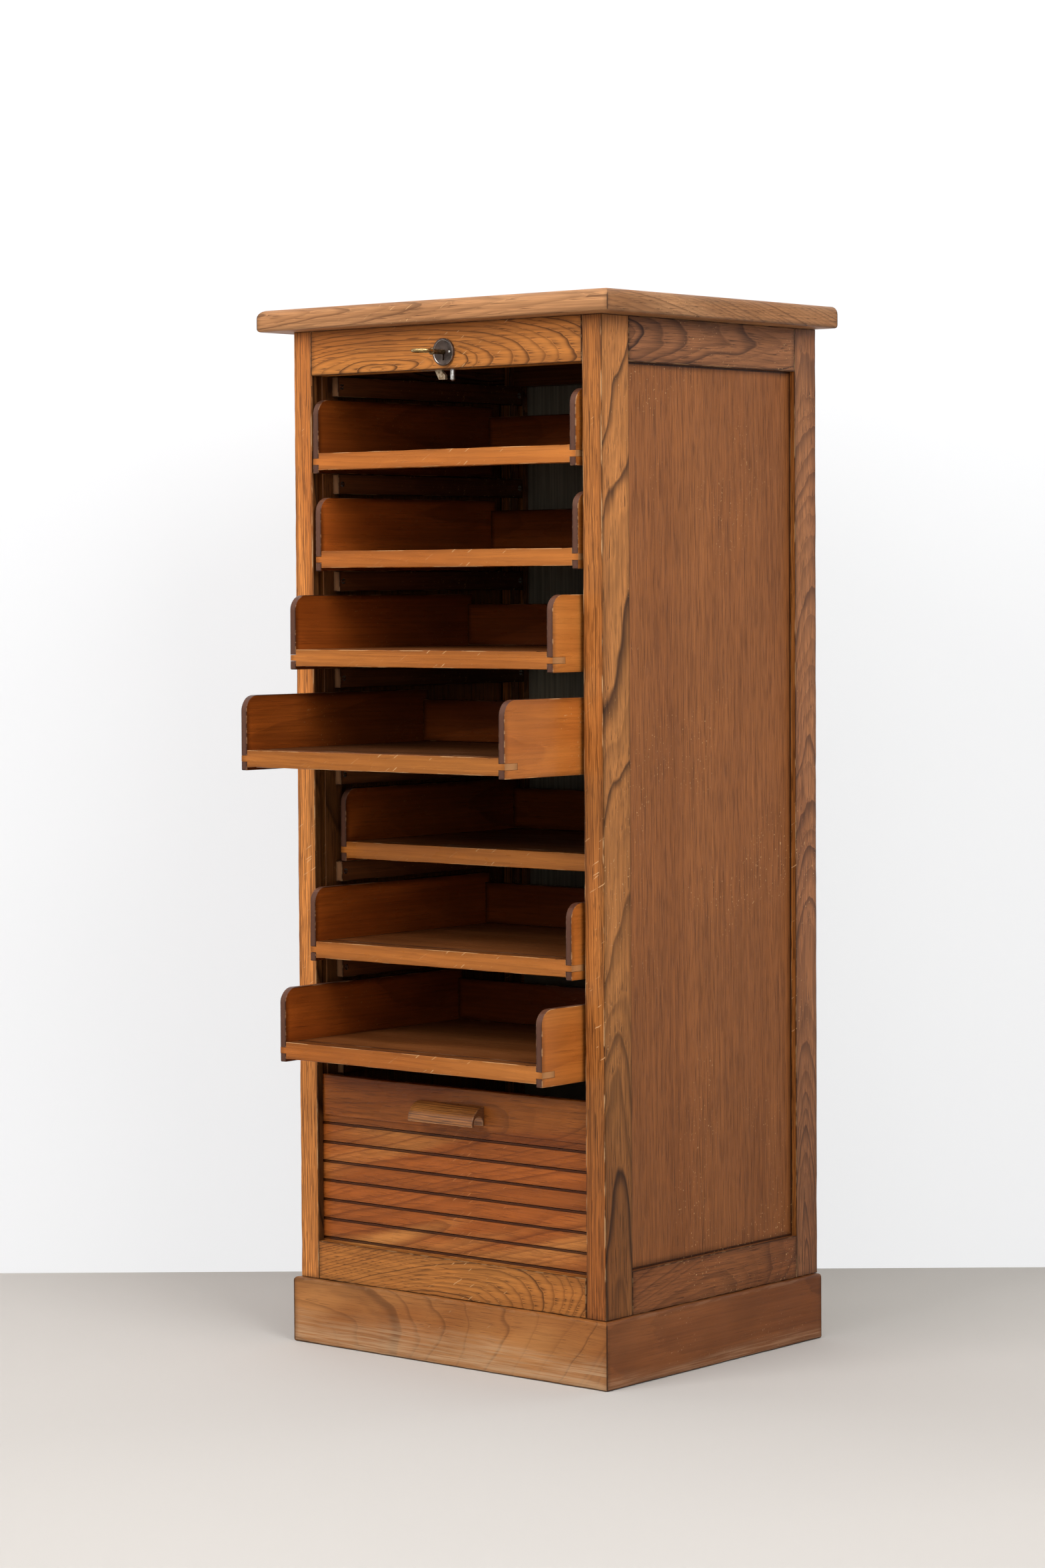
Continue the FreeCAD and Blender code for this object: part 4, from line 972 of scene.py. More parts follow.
def turned(profile: Sequence[Point], centre: Vector, steps: int) -> BMesh:
    """A profile turned round a line along the depth.

    Args:
        profile: Radius and depth of each point, from the middle of one end to the other.
        centre: A point of the line.
        steps: How many parts the full turn has.

    Returns:
        The shape, closed where the profile meets the line.
    """
    shape = bmesh.new()
    points = [shape.verts.new((centre.x + radius, centre.y + depth, centre.z)) for radius, depth in profile]
    edges = [shape.edges.new(pair) for pair in zip(points, points[1:])]
    bmesh.ops.spin(shape, geom=points + edges, cent=centre, axis=(0, 1, 0), angle=math.tau, steps=steps,
                   use_merge=True)
    bmesh.ops.remove_doubles(shape, verts=shape.verts, dist=0.001 * MM)
    return shape


def join(shape: BMesh, other: BMesh) -> BMesh:
    """Add a second shape to the first one, and free the second.

    Args:
        shape: The first shape.
        other: The second one, which is used up.

    Returns:
        The first shape.
    """
    spare = bpy.data.meshes.new("spare")
    other.to_mesh(spare)
    other.free()
    shape.from_mesh(spare)
    bpy.data.meshes.remove(spare)
    return shape


def copied(node: str) -> BMesh:
    """A node's own shape with its doubles merged and its flat faces whole.

    Args:
        node: The node.

    Returns:
        The shape.
    """
    shape = bmesh.new()
    shape.from_mesh(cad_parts[node].data)
    bmesh.ops.remove_doubles(shape, verts=shape.verts, dist=0.002 * MM)
    bmesh.ops.dissolve_limit(shape, angle_limit=math.radians(0.5), verts=shape.verts, edges=shape.edges)
    return shape


def divide(shape: BMesh, axis: Axis, step: float) -> None:
    """Cut the sides of a prism into lengths.

    Args:
        shape: The prism.
        axis: The direction of its length.
        step: About how long each part is.
    """
    long_edges = [edge for edge in shape.edges
                  if abs((edge.verts[0].co - edge.verts[1].co)[axis.value]) > 0.99 * edge.calc_length()]
    if long_edges:
        cuts = int(max(edge.calc_length() for edge in long_edges) / step)
        bmesh.ops.subdivide_edges(shape, edges=long_edges, cuts=cuts, use_grid_fill=True)


def is_arris(edge: BMEdge) -> bool:
    """Whether an edge stands out between two faces."""
    return len(edge.link_faces) == 2 and edge.is_convex and edge.calc_face_angle(0.0) > ARRIS_ANGLE


def soften(shape: BMesh, width: float, segments: int = 2, chosen: Callable[[BMEdge], bool] = is_arris,
           rubbed: float = 1.0) -> None:
    """Take the sharpness off edges, and mark the new faces as an arris.

    Args:
        shape: The shape.
        width: How much is taken off.
        segments: How many faces the rounding has across.
        chosen: Picks the edges.
        rubbed: How much wear the finish may show there.
    """
    mark = shape.faces.layers.float.get("arris") or shape.faces.layers.float.new("arris")
    shape.normal_update()
    edges = [edge for edge in shape.edges if chosen(edge)]
    made = bmesh.ops.bevel(shape, geom=edges, offset=width, offset_type="OFFSET", affect="EDGES",
                           segments=segments, profile=0.5, material=-1, clamp_overlap=True)
    for face in made["faces"]:
        face[mark] = rubbed


def rub(shape: BMesh, depth: float, seed: int) -> None:
    """Wear the arrises down unevenly.

    Args:
        shape: The shape.
        depth: The deepest wear.
        seed: Makes each board's wear its own.
    """
    mark = shape.faces.layers.float.get("arris")
    shape.normal_update()
    worn = {vert for face in shape.faces if face[mark] > 0.5 for vert in face.verts}
    shift = Vector((seed * 3.1, seed * 1.7, seed * 2.3))
    for vert in worn:
        wave = noise.noise(vert.co * 38 + shift) + 0.5 * noise.noise(vert.co * 120 + shift)
        vert.co -= vert.normal * depth * max(0.0, min(1.0, 0.35 + wave))


def weathered(shape: BMesh, along: Axis, width: float, wear: float, seed: int) -> BMesh:
    """Divide a board, soften its arrises and wear them down.

    Args:
        shape: The board.
        along: The direction of its length.
        width: How much its arrises are softened.
        wear: The deepest wear.
        seed: Makes its wear its own.

    Returns:
        The same shape.
    """
    divide(shape, along, PART)
    soften(shape, width)
    rub(shape, wear, seed)
    return shape


def plank(low: Vector, high: Vector, along: Axis, width: float = 0.8 * MM, wear: float = 0.35 * MM,
          seed: int = 0) -> BMesh:
    """A straight board with softened, worn arrises.

    Args:
        low: Its low corner.
        high: Its high corner.
        along: The direction of its length.
        width: How much its arrises are softened.
        wear: The deepest wear.
        seed: Makes its wear its own.

    Returns:
        The shape.
    """
    return weathered(block(low, high), along, width, wear, seed)


def moulding(outline: Sequence[Point], along: Axis, low: float, high: float, width: float = 0.8 * MM,
             wear: float = 0.35 * MM, seed: int = 0) -> BMesh:
    """A length of any section with softened, worn arrises.

    Args:
        outline: The section's corners.
        along: The direction of its length.
        low: Where it starts.
        high: Where it ends.
        width: How much its arrises are softened.
        wear: The deepest wear.
        seed: Makes its wear its own.

    Returns:
        The shape.
    """
    return weathered(prism(outline, along, low, high), along, width, wear, seed)


def mitre(shape: BMesh, corner: Vector, away: Vector) -> None:
    """Cut a shape at an upright plane and close the cut.

    Args:
        shape: The shape.
        corner: A point of the plane.
        away: The direction of the part that falls off.
    """
    everything = shape.verts[:] + shape.edges[:] + shape.faces[:]
    made = bmesh.ops.bisect_plane(shape, geom=everything, plane_co=corner, plane_no=away, clear_outer=True)
    rim = [item for item in made["geom_cut"] if isinstance(item, BMEdge)]
    bmesh.ops.contextual_create(shape, geom=rim)
    bmesh.ops.recalc_face_normals(shape, faces=shape.faces[:])


def paint_recess_shade(shape: BMesh, low: Vector, high: Vector, dark: float = 1.0) -> None:
    """Mark the faces inside a box as a recess, which the finish darkens as painted shade.

    Args:
        shape: The shape.
        low: The box's low corner.
        high: Its high corner.
        dark: How dark the painted shade is there.
    """
    mark = shape.faces.layers.float.get("dirt") or shape.faces.layers.float.new("dirt")
    for face in shape.faces:
        middle = face.calc_center_median()
        if all(low[axis] <= middle[axis] <= high[axis] for axis in range(3)):
            face[mark] = dark


def mark_end_grain(shape: BMesh, along: Axis) -> None:
    """Mark the faces that cross the grain.

    Args:
        shape: The shape.
        along: The grain's direction.
    """
    mark = shape.faces.layers.float.new("end")
    for face in shape.faces:
        face[mark] = float(abs(face.normal[along.value]) > 0.7)


def write_places(mesh: bpy.types.Mesh, cut: Cut, middle: Vector | None) -> None:
    """Give a mesh the attributes that the wood finishes read.

    Args:
        mesh: The board.
        cut: How it was cut from its log.
        middle: The middle that its place in the log is measured from, if it isn't the board's own.
    """
    points = [vertex.co.copy() for vertex in mesh.vertices]
    low = Vector([min(point[axis] for point in points) for axis in range(3)])
    high = Vector([max(point[axis] for point in points) for axis in range(3)])
    centre = middle or (low + high) / 2
    rows = {
        "wood": [cut.wood_place(point, centre) for point in points],
        "fibre": [cut.fibre_place(point, centre) for point in points],
        "board": [point - low for point in points],
        "span": [high - low for _ in points],
    }
    for name, row in rows.items():
        layer = mesh.attributes.new(name, "FLOAT_VECTOR", "POINT")
        layer.data.foreach_set("vector", [number for entry in row for number in entry])
    tone = mesh.attributes.new("tone", "FLOAT", "POINT")
    tone.data.foreach_set("value", [cut.tone] * len(points))


def finish_piece(name: str, shape: BMesh, body: str | None, finishes: Sequence[Finish],
                 cut: Cut | None = None, replaces: Sequence[str] = (),
                 middle: Vector | None = None) -> bpy.types.Object:
    """Turn a shape into a finished piece of the cabinet.

    Args:
        name: The piece's name.
        shape: Its shape, which is used up.
        body: What it moves with, or None for a piece that is tied to no body.
        finishes: Its finishes, in the order of its faces' material numbers.
        cut: How its wood was cut, if it is wood.
        replaces: The nodes that it stands for.
        middle: See write_places.

    Returns:
        The object.
    """
    bmesh.ops.recalc_face_normals(shape, faces=shape.faces[:])
    if cut:
        mark_end_grain(shape, cut.along)
    mesh = bpy.data.meshes.new(name)
    shape.to_mesh(mesh)
    shape.free()
    if cut:
        write_places(mesh, cut, middle)
    for finish in finishes:
        mesh.materials.append(finish.material())
    mesh.shade_smooth()
    mesh.set_sharp_from_angle(angle=SHARP_ANGLE)
    piece = bpy.data.objects.new(name, mesh)
    bpy.context.scene.collection.objects.link(piece)
    weighted = piece.modifiers.new("flat_faces", "WEIGHTED_NORMAL")
    weighted.keep_sharp = True
    if body:
        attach(piece, body)
    if replaces:
        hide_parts(*replaces)
    log.info("%s: %d faces, moves with %s", name, len(mesh.polygons), body or "two bodies")
    return piece


def stand_in(node: str, word: str, shape: BMesh, finishes: Sequence[Finish], cut: Cut | None = None,
             body: Body = Body.CARCASS) -> bpy.types.Object:
    """Turn a shape into the one piece that stands for a node, and name it after the node.

    Args:
        node: The node.
        word: What follows the node's name in the piece's.
        shape: The piece's shape, which is used up.
        finishes: Its finishes, in the order of its faces' material numbers.
        cut: How its wood was cut, if it is wood.
        body: What it moves with.

    Returns:
        The object.
    """
    return finish_piece(f"{node}_{word}", shape, body.value, finishes, cut, [node])


# The carcass


def on_side(outline: Sequence[Point], side: Side) -> list[Point]:
    """An outline drawn for the right side, turned over for the left one."""
    return [(x * side.value, other) for x, other in outline]


def outer_edge(outward: Vector, along: Axis, height: float) -> Callable[[BMEdge], bool]:
    """A test for a board's long outer edge at one height.

    Args:
        outward: The direction that the board faces.
        along: The direction of its length.
        height: The edge's height.

    Returns:
        The test.
    """
    def chosen(edge: BMEdge) -> bool:
        """Whether the edge is the one.

        Args:
            edge: The edge.

        Returns:
            Whether it is.
        """
        one, two = (vert.co for vert in edge.verts)
        faces_out = any(face.normal.dot(outward) > 0.9 for face in edge.link_faces)
        level = abs(one.z - height) < TOUCH and abs(two.z - height) < TOUCH
        return level and faces_out and abs((one - two)[along.value]) > 50 * MM
    return chosen


def end_edge(along: Axis) -> Callable[[BMEdge], bool]:
    """A test for the edges round the two ends of a board.

    Args:
        along: The direction of its length.

    Returns:
        The test.
    """
    def chosen(edge: BMEdge) -> bool:
        """Whether the edge is round an end."""
        return is_arris(edge) and any(abs(face.normal[along.value]) > 0.5 for face in edge.link_faces)
    return chosen


def mitred_strip(node: str, front: str, along: Axis, rounds: Sequence[tuple[float, int]], rubbed: float,
                 step: float) -> BMesh:
    """A board rounded outside above and below, and mitred where two boards meet in front.

    Args:
        node: The node that it stands for.
        front: The node of the front board, whose outer corners the mitres start from.
        along: The direction of its length.
        rounds: Radius and number of faces of the upper and then of the lower rounding.
        rubbed: How much wear the finish may show on them.
        step: About how long each part of it is.

    Returns:
        The shape.
    """
    low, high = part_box(node)
    outward = Vector((0, -1, 0)) if along is Axis.X else Vector((math.copysign(1, low.x), 0, 0))
    shape = block(low, high)
    for height, (radius, segments) in zip((high.z, low.z), rounds):
        soften(shape, radius, segments, outer_edge(outward, along, height), rubbed)
    divide(shape, along, step)
    front_low, front_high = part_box(front)
    for side in Side:
        if along is Axis.X or side.value * low.x > 0:
            away = Vector((side.value, 1, 0)) if along is Axis.X else Vector((-side.value, -1, 0))
            mitre(shape, Vector((side.value * front_high.x, front_low.y, 0)), away.normalized())
    return shape


@dataclass
class TopSlab:
    """A veneered panel with solid edgings, mitred at the two front corners."""

    round_above: float = 9.0 * MM
    round_below: float = 3.5 * MM
    joint: float = 0.5 * MM

    def build(self) -> None:
        """Make the panel and its three edgings."""
        panel = plank(*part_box("top_panel"), Axis.X, 0.25 * MM, 0.0)
        stand_in("top_panel", "veneered", panel, [TOP_VENEER],
                 Cut(Axis.X, Axis.Z, 260 * MM, 40 * MM, 0.02, 0.05, 3))
        self.edging("top_edging_front", Axis.X, Cut(Axis.X, Axis.Y, 90 * MM, 30 * MM, 0.05, 0.0, 1, 0.3))
        self.edging("top_edging_right", Axis.Y, Cut(Axis.Y, Axis.X, -70 * MM, -110 * MM, 0.10, -0.3, 2, -0.6))
        self.edging("top_edging_left", Axis.Y, Cut(Axis.Y, Axis.X, 70 * MM, 10 * MM, -0.2, 0.2, 4, -0.4))

    def edging(self, node: str, along: Axis, cut: Cut) -> None:
        """Make one edging.

        Args:
            node: The node that it stands for.
            along: The direction of its length.
            cut: How its wood was cut.
        """
        rounds = ((self.round_above, 6), (self.round_below, 3))
        shape = mitred_strip(node, "top_edging_front", along, rounds, 0.3, PART)
        soften(shape, self.joint, 1, end_edge(along), 0.0)
        stand_in(node, "moulded", shape, [EDGING], cut)


@dataclass
class CarcassFrame:
    """Front posts, rear stiles, side rails, panels and the two front rails."""

    groove_front: float = 9 * MM
    groove_back: float = 17 * MM
    groove_depth: float = 9 * MM
    rear_groove: Point = (352 * MM, 360 * MM)
    panel_inner: float = 207 * MM
    panel_outer: float = 213 * MM
    tongue: float = 8 * MM
    rebate: float = 18 * MM
    back_thick: float = 6 * MM
    arris: float = 1.6 * MM

    def build(self) -> None:
        """Make the frame on both sides and the rails in front."""
        for side in Side:
            self.post(side)
            self.stile(side)
            self.side_rail("top", side)
            self.side_rail("bottom", side)
            self.panel(side)
        self.lock_rail()
        self.bottom_rail()

    @staticmethod
    def extent(node: str) -> tuple[Vector, Vector, float, float]:
        """A node's two corners, and how far its inner and outer faces are from the middle.

        Args:
            node: The node.

        Returns:
            The low and high corner, then the two distances.
        """
        low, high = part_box(node)
        inner, outer = sorted((abs(low.x), abs(high.x)))
        return low, high, inner, outer

    def post(self, side: Side) -> None:
        """Make a front post with its shutter groove and panel groove.

        Args:
            side: Which side.
        """
        node = "front_post_" + side.word
        low, high, inner, outer = self.extent(node)
        floor, back = inner + self.groove_depth, high.y
        outline = [(inner, low.y), (outer, low.y), (outer, back), (self.panel_outer, back),
                   (self.panel_outer, back - self.tongue), (self.panel_inner, back - self.tongue),
                   (self.panel_inner, back), (inner, back), (inner, self.groove_back),
                   (floor, self.groove_back), (floor, self.groove_front), (inner, self.groove_front)]
        shape = prism(on_side(outline, side), Axis.Z, low.z, high.z)
        divide(shape, Axis.Z, 12 * MM)
        soften(shape, self.arris, 3, self.front_arris)
        soften(shape, 0.5 * MM, 1, is_arris, 0.2)
        rub(shape, 0.5 * MM, 5 + side.value)
        self.side_faces_bold(shape)
        edges = sorted((side.value * (inner - 1 * MM), side.value * (self.panel_inner - 1 * MM)))
        # Painted shade in the grooves and on the inner face, where the post is in shadow
        paint_recess_shade(shape, Vector((edges[0], low.y + 1 * MM, low.z)), Vector((edges[1], back, high.z)), 0.85)
        # The left post's tone of 2.0 is painted light: it stands nearer the lamps than the right one
        pith, tone = (58 * MM, 0.0) if side is Side.RIGHT else (-71 * MM, 2.0)
        cut = Cut(Axis.Z, Axis.X, pith, 6 * MM, 0.022, 0.008, 5 + side.value, tone)
        stand_in(node, "grained", shape, [POST, BOLD], cut)

    @staticmethod
    def side_faces_bold(shape: BMesh) -> None:
        """Give a board's side faces its second finish, because they lie along the year rings.

        Args:
            shape: The board.
        """
        shape.normal_update()
        for face in shape.faces:
            face.material_index = int(abs(face.normal.x) > 0.75)

    @staticmethod
    def front_arris(edge: BMEdge) -> bool:
        """Whether an edge is one of a post's two long front arrises."""
        front = all(abs(vert.co.y) < TOUCH for vert in edge.verts)
        return front and is_arris(edge) and abs(edge.verts[0].co.z - edge.verts[1].co.z) > 5 * MM

    def stile(self, side: Side) -> None:
        """Make a rear stile with its grooves and the rebate for the back.

        Args:
            side: Which side.
        """
        node = "rear_stile_" + side.word
        low, high, inner, outer = self.extent(node)
        floor, front, back = inner + self.groove_depth, low.y, high.y
        near, far = self.rear_groove
        outline = [(inner, front), (self.panel_inner, front), (self.panel_inner, front + self.tongue),
                   (self.panel_outer, front + self.tongue), (self.panel_outer, front), (outer, front),
                   (outer, back), (inner + self.rebate, back), (inner + self.rebate, back - self.back_thick),
                   (inner, back - self.back_thick), (inner, far), (floor, far), (floor, near), (inner, near)]
        seed = 8 + side.value
        shape = moulding(on_side(outline, side), Axis.Z, low.z, high.z, 0.8 * MM, 0.5 * MM, seed)
        self.side_faces_bold(shape)
        cut = Cut(Axis.Z, Axis.X, side.value * 46 * MM, 4 * MM, 0.01, 0.01, seed)
        stand_in(node, "grained", shape, [POST, STILE_SIDE], cut)

    def side_rail(self, place: str, side: Side) -> None:
        """Make the top or bottom rail of a side.

        Args:
            place: top or bottom.
            side: Which side.
        """
        node = f"side_{place}_rail_{side.word}"
        low, high, inner, outer = self.extent(node)
        lip, far = (low.z, high.z) if place == "top" else (high.z, low.z)
        bottom = lip + math.copysign(self.tongue, far - lip)
        outline = [(inner, lip), (self.panel_inner, lip), (self.panel_inner, bottom),
                   (self.panel_outer, bottom), (self.panel_outer, lip), (outer, lip), (outer, far),
                   (inner, far)]
        seed = 11 + side.value + (4 if place == "top" else 0)
        shape = moulding(on_side(outline, side), Axis.Y, low.y, high.y, 0.9 * MM, 0.3 * MM, seed)
        if place == "top":
            finish, cut = FIGURED, Cut(Axis.Y, Axis.X, side.value * 26 * MM, 6 * MM, 0.13, 0.05, seed)
        else:
            finish, cut = SIDE_FOOT, Cut(Axis.Y, Axis.X, side.value * 44 * MM, -30 * MM, 0.22, 0.42, seed)
        stand_in(node, "grained", shape, [finish], cut)

    @staticmethod
    def panel(side: Side) -> None:
        """Make a veneered side panel.

        Args:
            side: Which side.
        """
        node = "side_panel_" + side.word
        cut = Cut(Axis.Z, Axis.Y, 210 * MM, 0.0, 0.035, 0.0, 20 + side.value)
        stand_in(node, "veneered", plank(*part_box(node), Axis.Z, 0.3 * MM, 0.0), [VENEER], cut)

    def lock_rail(self) -> None:
        """Make the front rail above the shutter, from the node's own mortised shape."""
        low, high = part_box("lock_rail")
        shape = copied("lock_rail")
        soften(shape, 0.6 * MM, 2, lambda edge: is_arris(edge) and self.at_end(edge, low, high))
        cut = Cut(Axis.X, Axis.Y, 31 * MM, -20 * MM, 0.16, 0.03, 31)
        stand_in("lock_rail", "grained", shape, [RAIL], cut)

    @staticmethod
    def at_end(edge: BMEdge, low: Vector, high: Vector) -> bool:
        """Whether both ends of an edge lie at the left or right end of a board.

        Args:
            edge: The edge.
            low: The board's low corner.
            high: The board's high corner.

        Returns:
            Whether they do.
        """
        return all(min(abs(vert.co.x - low.x), abs(vert.co.x - high.x)) < TOUCH for vert in edge.verts)

    @staticmethod
    def bottom_rail() -> None:
        """Make the thin rail in front of the shutter's path."""
        cut = Cut(Axis.X, Axis.Y, 60 * MM, -60 * MM, 0.28, 0.35, 33, -0.8)
        shape = plank(*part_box("bottom_rail"), Axis.X, 1.0 * MM, 0.5 * MM, cut.seed)
        stand_in("bottom_rail", "grained", shape, [RAIL], cut)


@dataclass
class Plinth:
    """Four boards on the floor, mitred in front, with rounded arrises above and at the foot."""

    round_top: float = 4 * MM
    foot_round: float = 2.6 * MM

    def build(self) -> None:
        """Make the four boards."""
        self.board("plinth_front", Axis.X, Cut(Axis.X, Axis.Y, 130 * MM, 10 * MM, 0.38, 0.3, 41))
        self.board("plinth_right", Axis.Y, Cut(Axis.Y, Axis.X, -60 * MM, 18 * MM, 0.06, 0.1, 42))
        self.board("plinth_left", Axis.Y, Cut(Axis.Y, Axis.X, 60 * MM, 18 * MM, 0.06, 0.1, 43))
        cut = Cut(Axis.X, Axis.Y, 60 * MM, 10 * MM, 0.03, 0.0, 44)
        stand_in("plinth_back", "board", plank(*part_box("plinth_back"), Axis.X), [PLAIN_WOOD], cut)

    def board(self, node: str, along: Axis, cut: Cut) -> None:
        """Make one outer board.

        Args:
            node: The node that it stands for.
            along: The direction of its length.
            cut: How its wood was cut.
        """
        rounds = ((self.round_top, 4), (self.foot_round, 3))
        shape = mitred_strip(node, "plinth_front", along, rounds, 0.7, 12 * MM)
        soften(shape, 0.7 * MM, 2)
        rub(shape, 0.7 * MM, cut.seed)
        low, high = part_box(node)
        # Painted contact shadow along the foot, where the board meets the floor
        paint_recess_shade(shape, low - Vector((MM, MM, MM)), Vector((high.x, high.y, self.foot_round * 0.7)), 0.9)
        stand_in(node, "grained", shape, [PLINTH_WOOD if along is Axis.X else PLINTH_SIDE], cut)


@dataclass
class Inside:
    """The battens that carry the trays, their screws, the back and its pins."""

    battens_a_side: int = 8
    screw_inset: float = 6 * MM
    screw_radius: float = 3.2 * MM
    screw_slot: float = 0.9 * MM
    screw_proud: float = 0.15 * MM
    screw_sunk: float = 0.6 * MM
    pin_radius: float = 1.3 * MM
    pin_gap: float = 95 * MM
    pin_inset: float = 9 * MM
    pin_proud: float = 0.2 * MM
    pin_sunk: float = 0.5 * MM

    def build(self) -> None:
        """Make the battens, the screws, the back and the pins."""
        screws = bmesh.new()
        for side in Side:
            for number, (low, high) in enumerate(self.battens(side), start=1):
                seed = 50 + number * 2 + side.value
                cut = Cut(Axis.Y, Axis.X, side.value * 40 * MM, 4 * MM, 0.04, 0.0, seed)
                batten = plank(low, high, Axis.Y, 0.7 * MM, 0.4 * MM, seed)
                finish_piece(f"runner_{side.word}_{number}", batten, Body.CARCASS.value, [RUNNER_WOOD], cut,
                             ["runners_" + side.word])
                face = low.x if side is Side.RIGHT else high.x
                for y in (low.y + self.screw_inset, high.y - self.screw_inset):
                    self.screw(screws, side, Vector((face, y, (low.z + high.z) / 2)))
        finish_piece("runner_screws", screws, Body.CARCASS.value, [STEEL])
        self.back()

    def battens(self, side: Side) -> list[tuple[Vector, Vector]]:
        """The boxes of one side's battens, from the lowest up.

        Args:
            side: Which side.

        Returns:
            The low and high corner of each.
        """
        low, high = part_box("runners_" + side.word)
        tray_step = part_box("tray_1_sides")[0].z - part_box("tray_2_sides")[0].z
        thick = (high.z - low.z) - tray_step * (self.battens_a_side - 1)
        starts = [low.z + tray_step * number for number in range(self.battens_a_side)]
        return [(Vector((low.x, low.y, start)), Vector((high.x, high.y, start + thick))) for start in starts]

    def screw(self, screws: BMesh, side: Side, head: Vector) -> None:
        """Add a slotted countersunk head.

        Args:
            screws: The shape that holds them all.
            side: The side that the batten is on.
            head: The middle of the head on the batten's face.
        """
        half_slot = math.degrees(math.asin(self.screw_slot / 2 / self.screw_radius))
        inward = -side.value
        low, high = sorted((head.x - inward * self.screw_sunk, head.x + inward * self.screw_proud))
        for start in (half_slot, 180 + half_slot):
            outline = arc((head.y, head.z), self.screw_radius, start, start + 180 - 2 * half_slot, 10)
            join(screws, prism(outline, Axis.X, low, high))

    def back(self) -> None:
        """Make the plywood back and the pins that hold it."""
        low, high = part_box("back_panel")
        stand_in("back_panel", "painted", plank(low, high, Axis.Z, 0.4 * MM, 0.0), [PLY])
        pins = bmesh.new()
        upright = int((high.z - low.z) / self.pin_gap)
        level = int((high.x - low.x) / self.pin_gap)
        places = [(x, low.z + self.pin_inset * 2 + (high.z - low.z - self.pin_inset * 4) * step / upright)
                  for x in (low.x + self.pin_inset, high.x - self.pin_inset) for step in range(upright + 1)]
        places += [(low.x + (high.x - low.x) * (step + 1) / (level + 1), z)
                   for z in (low.z + self.pin_inset, high.z - self.pin_inset) for step in range(level)]
        for place in places:
            outline = arc(place, self.pin_radius, 0, 330, 11)
            join(pins, prism(outline, Axis.Y, high.y - self.pin_sunk, high.y + self.pin_proud))
        finish_piece("back_pins", pins, Body.CARCASS.value, [STEEL])


# The trays


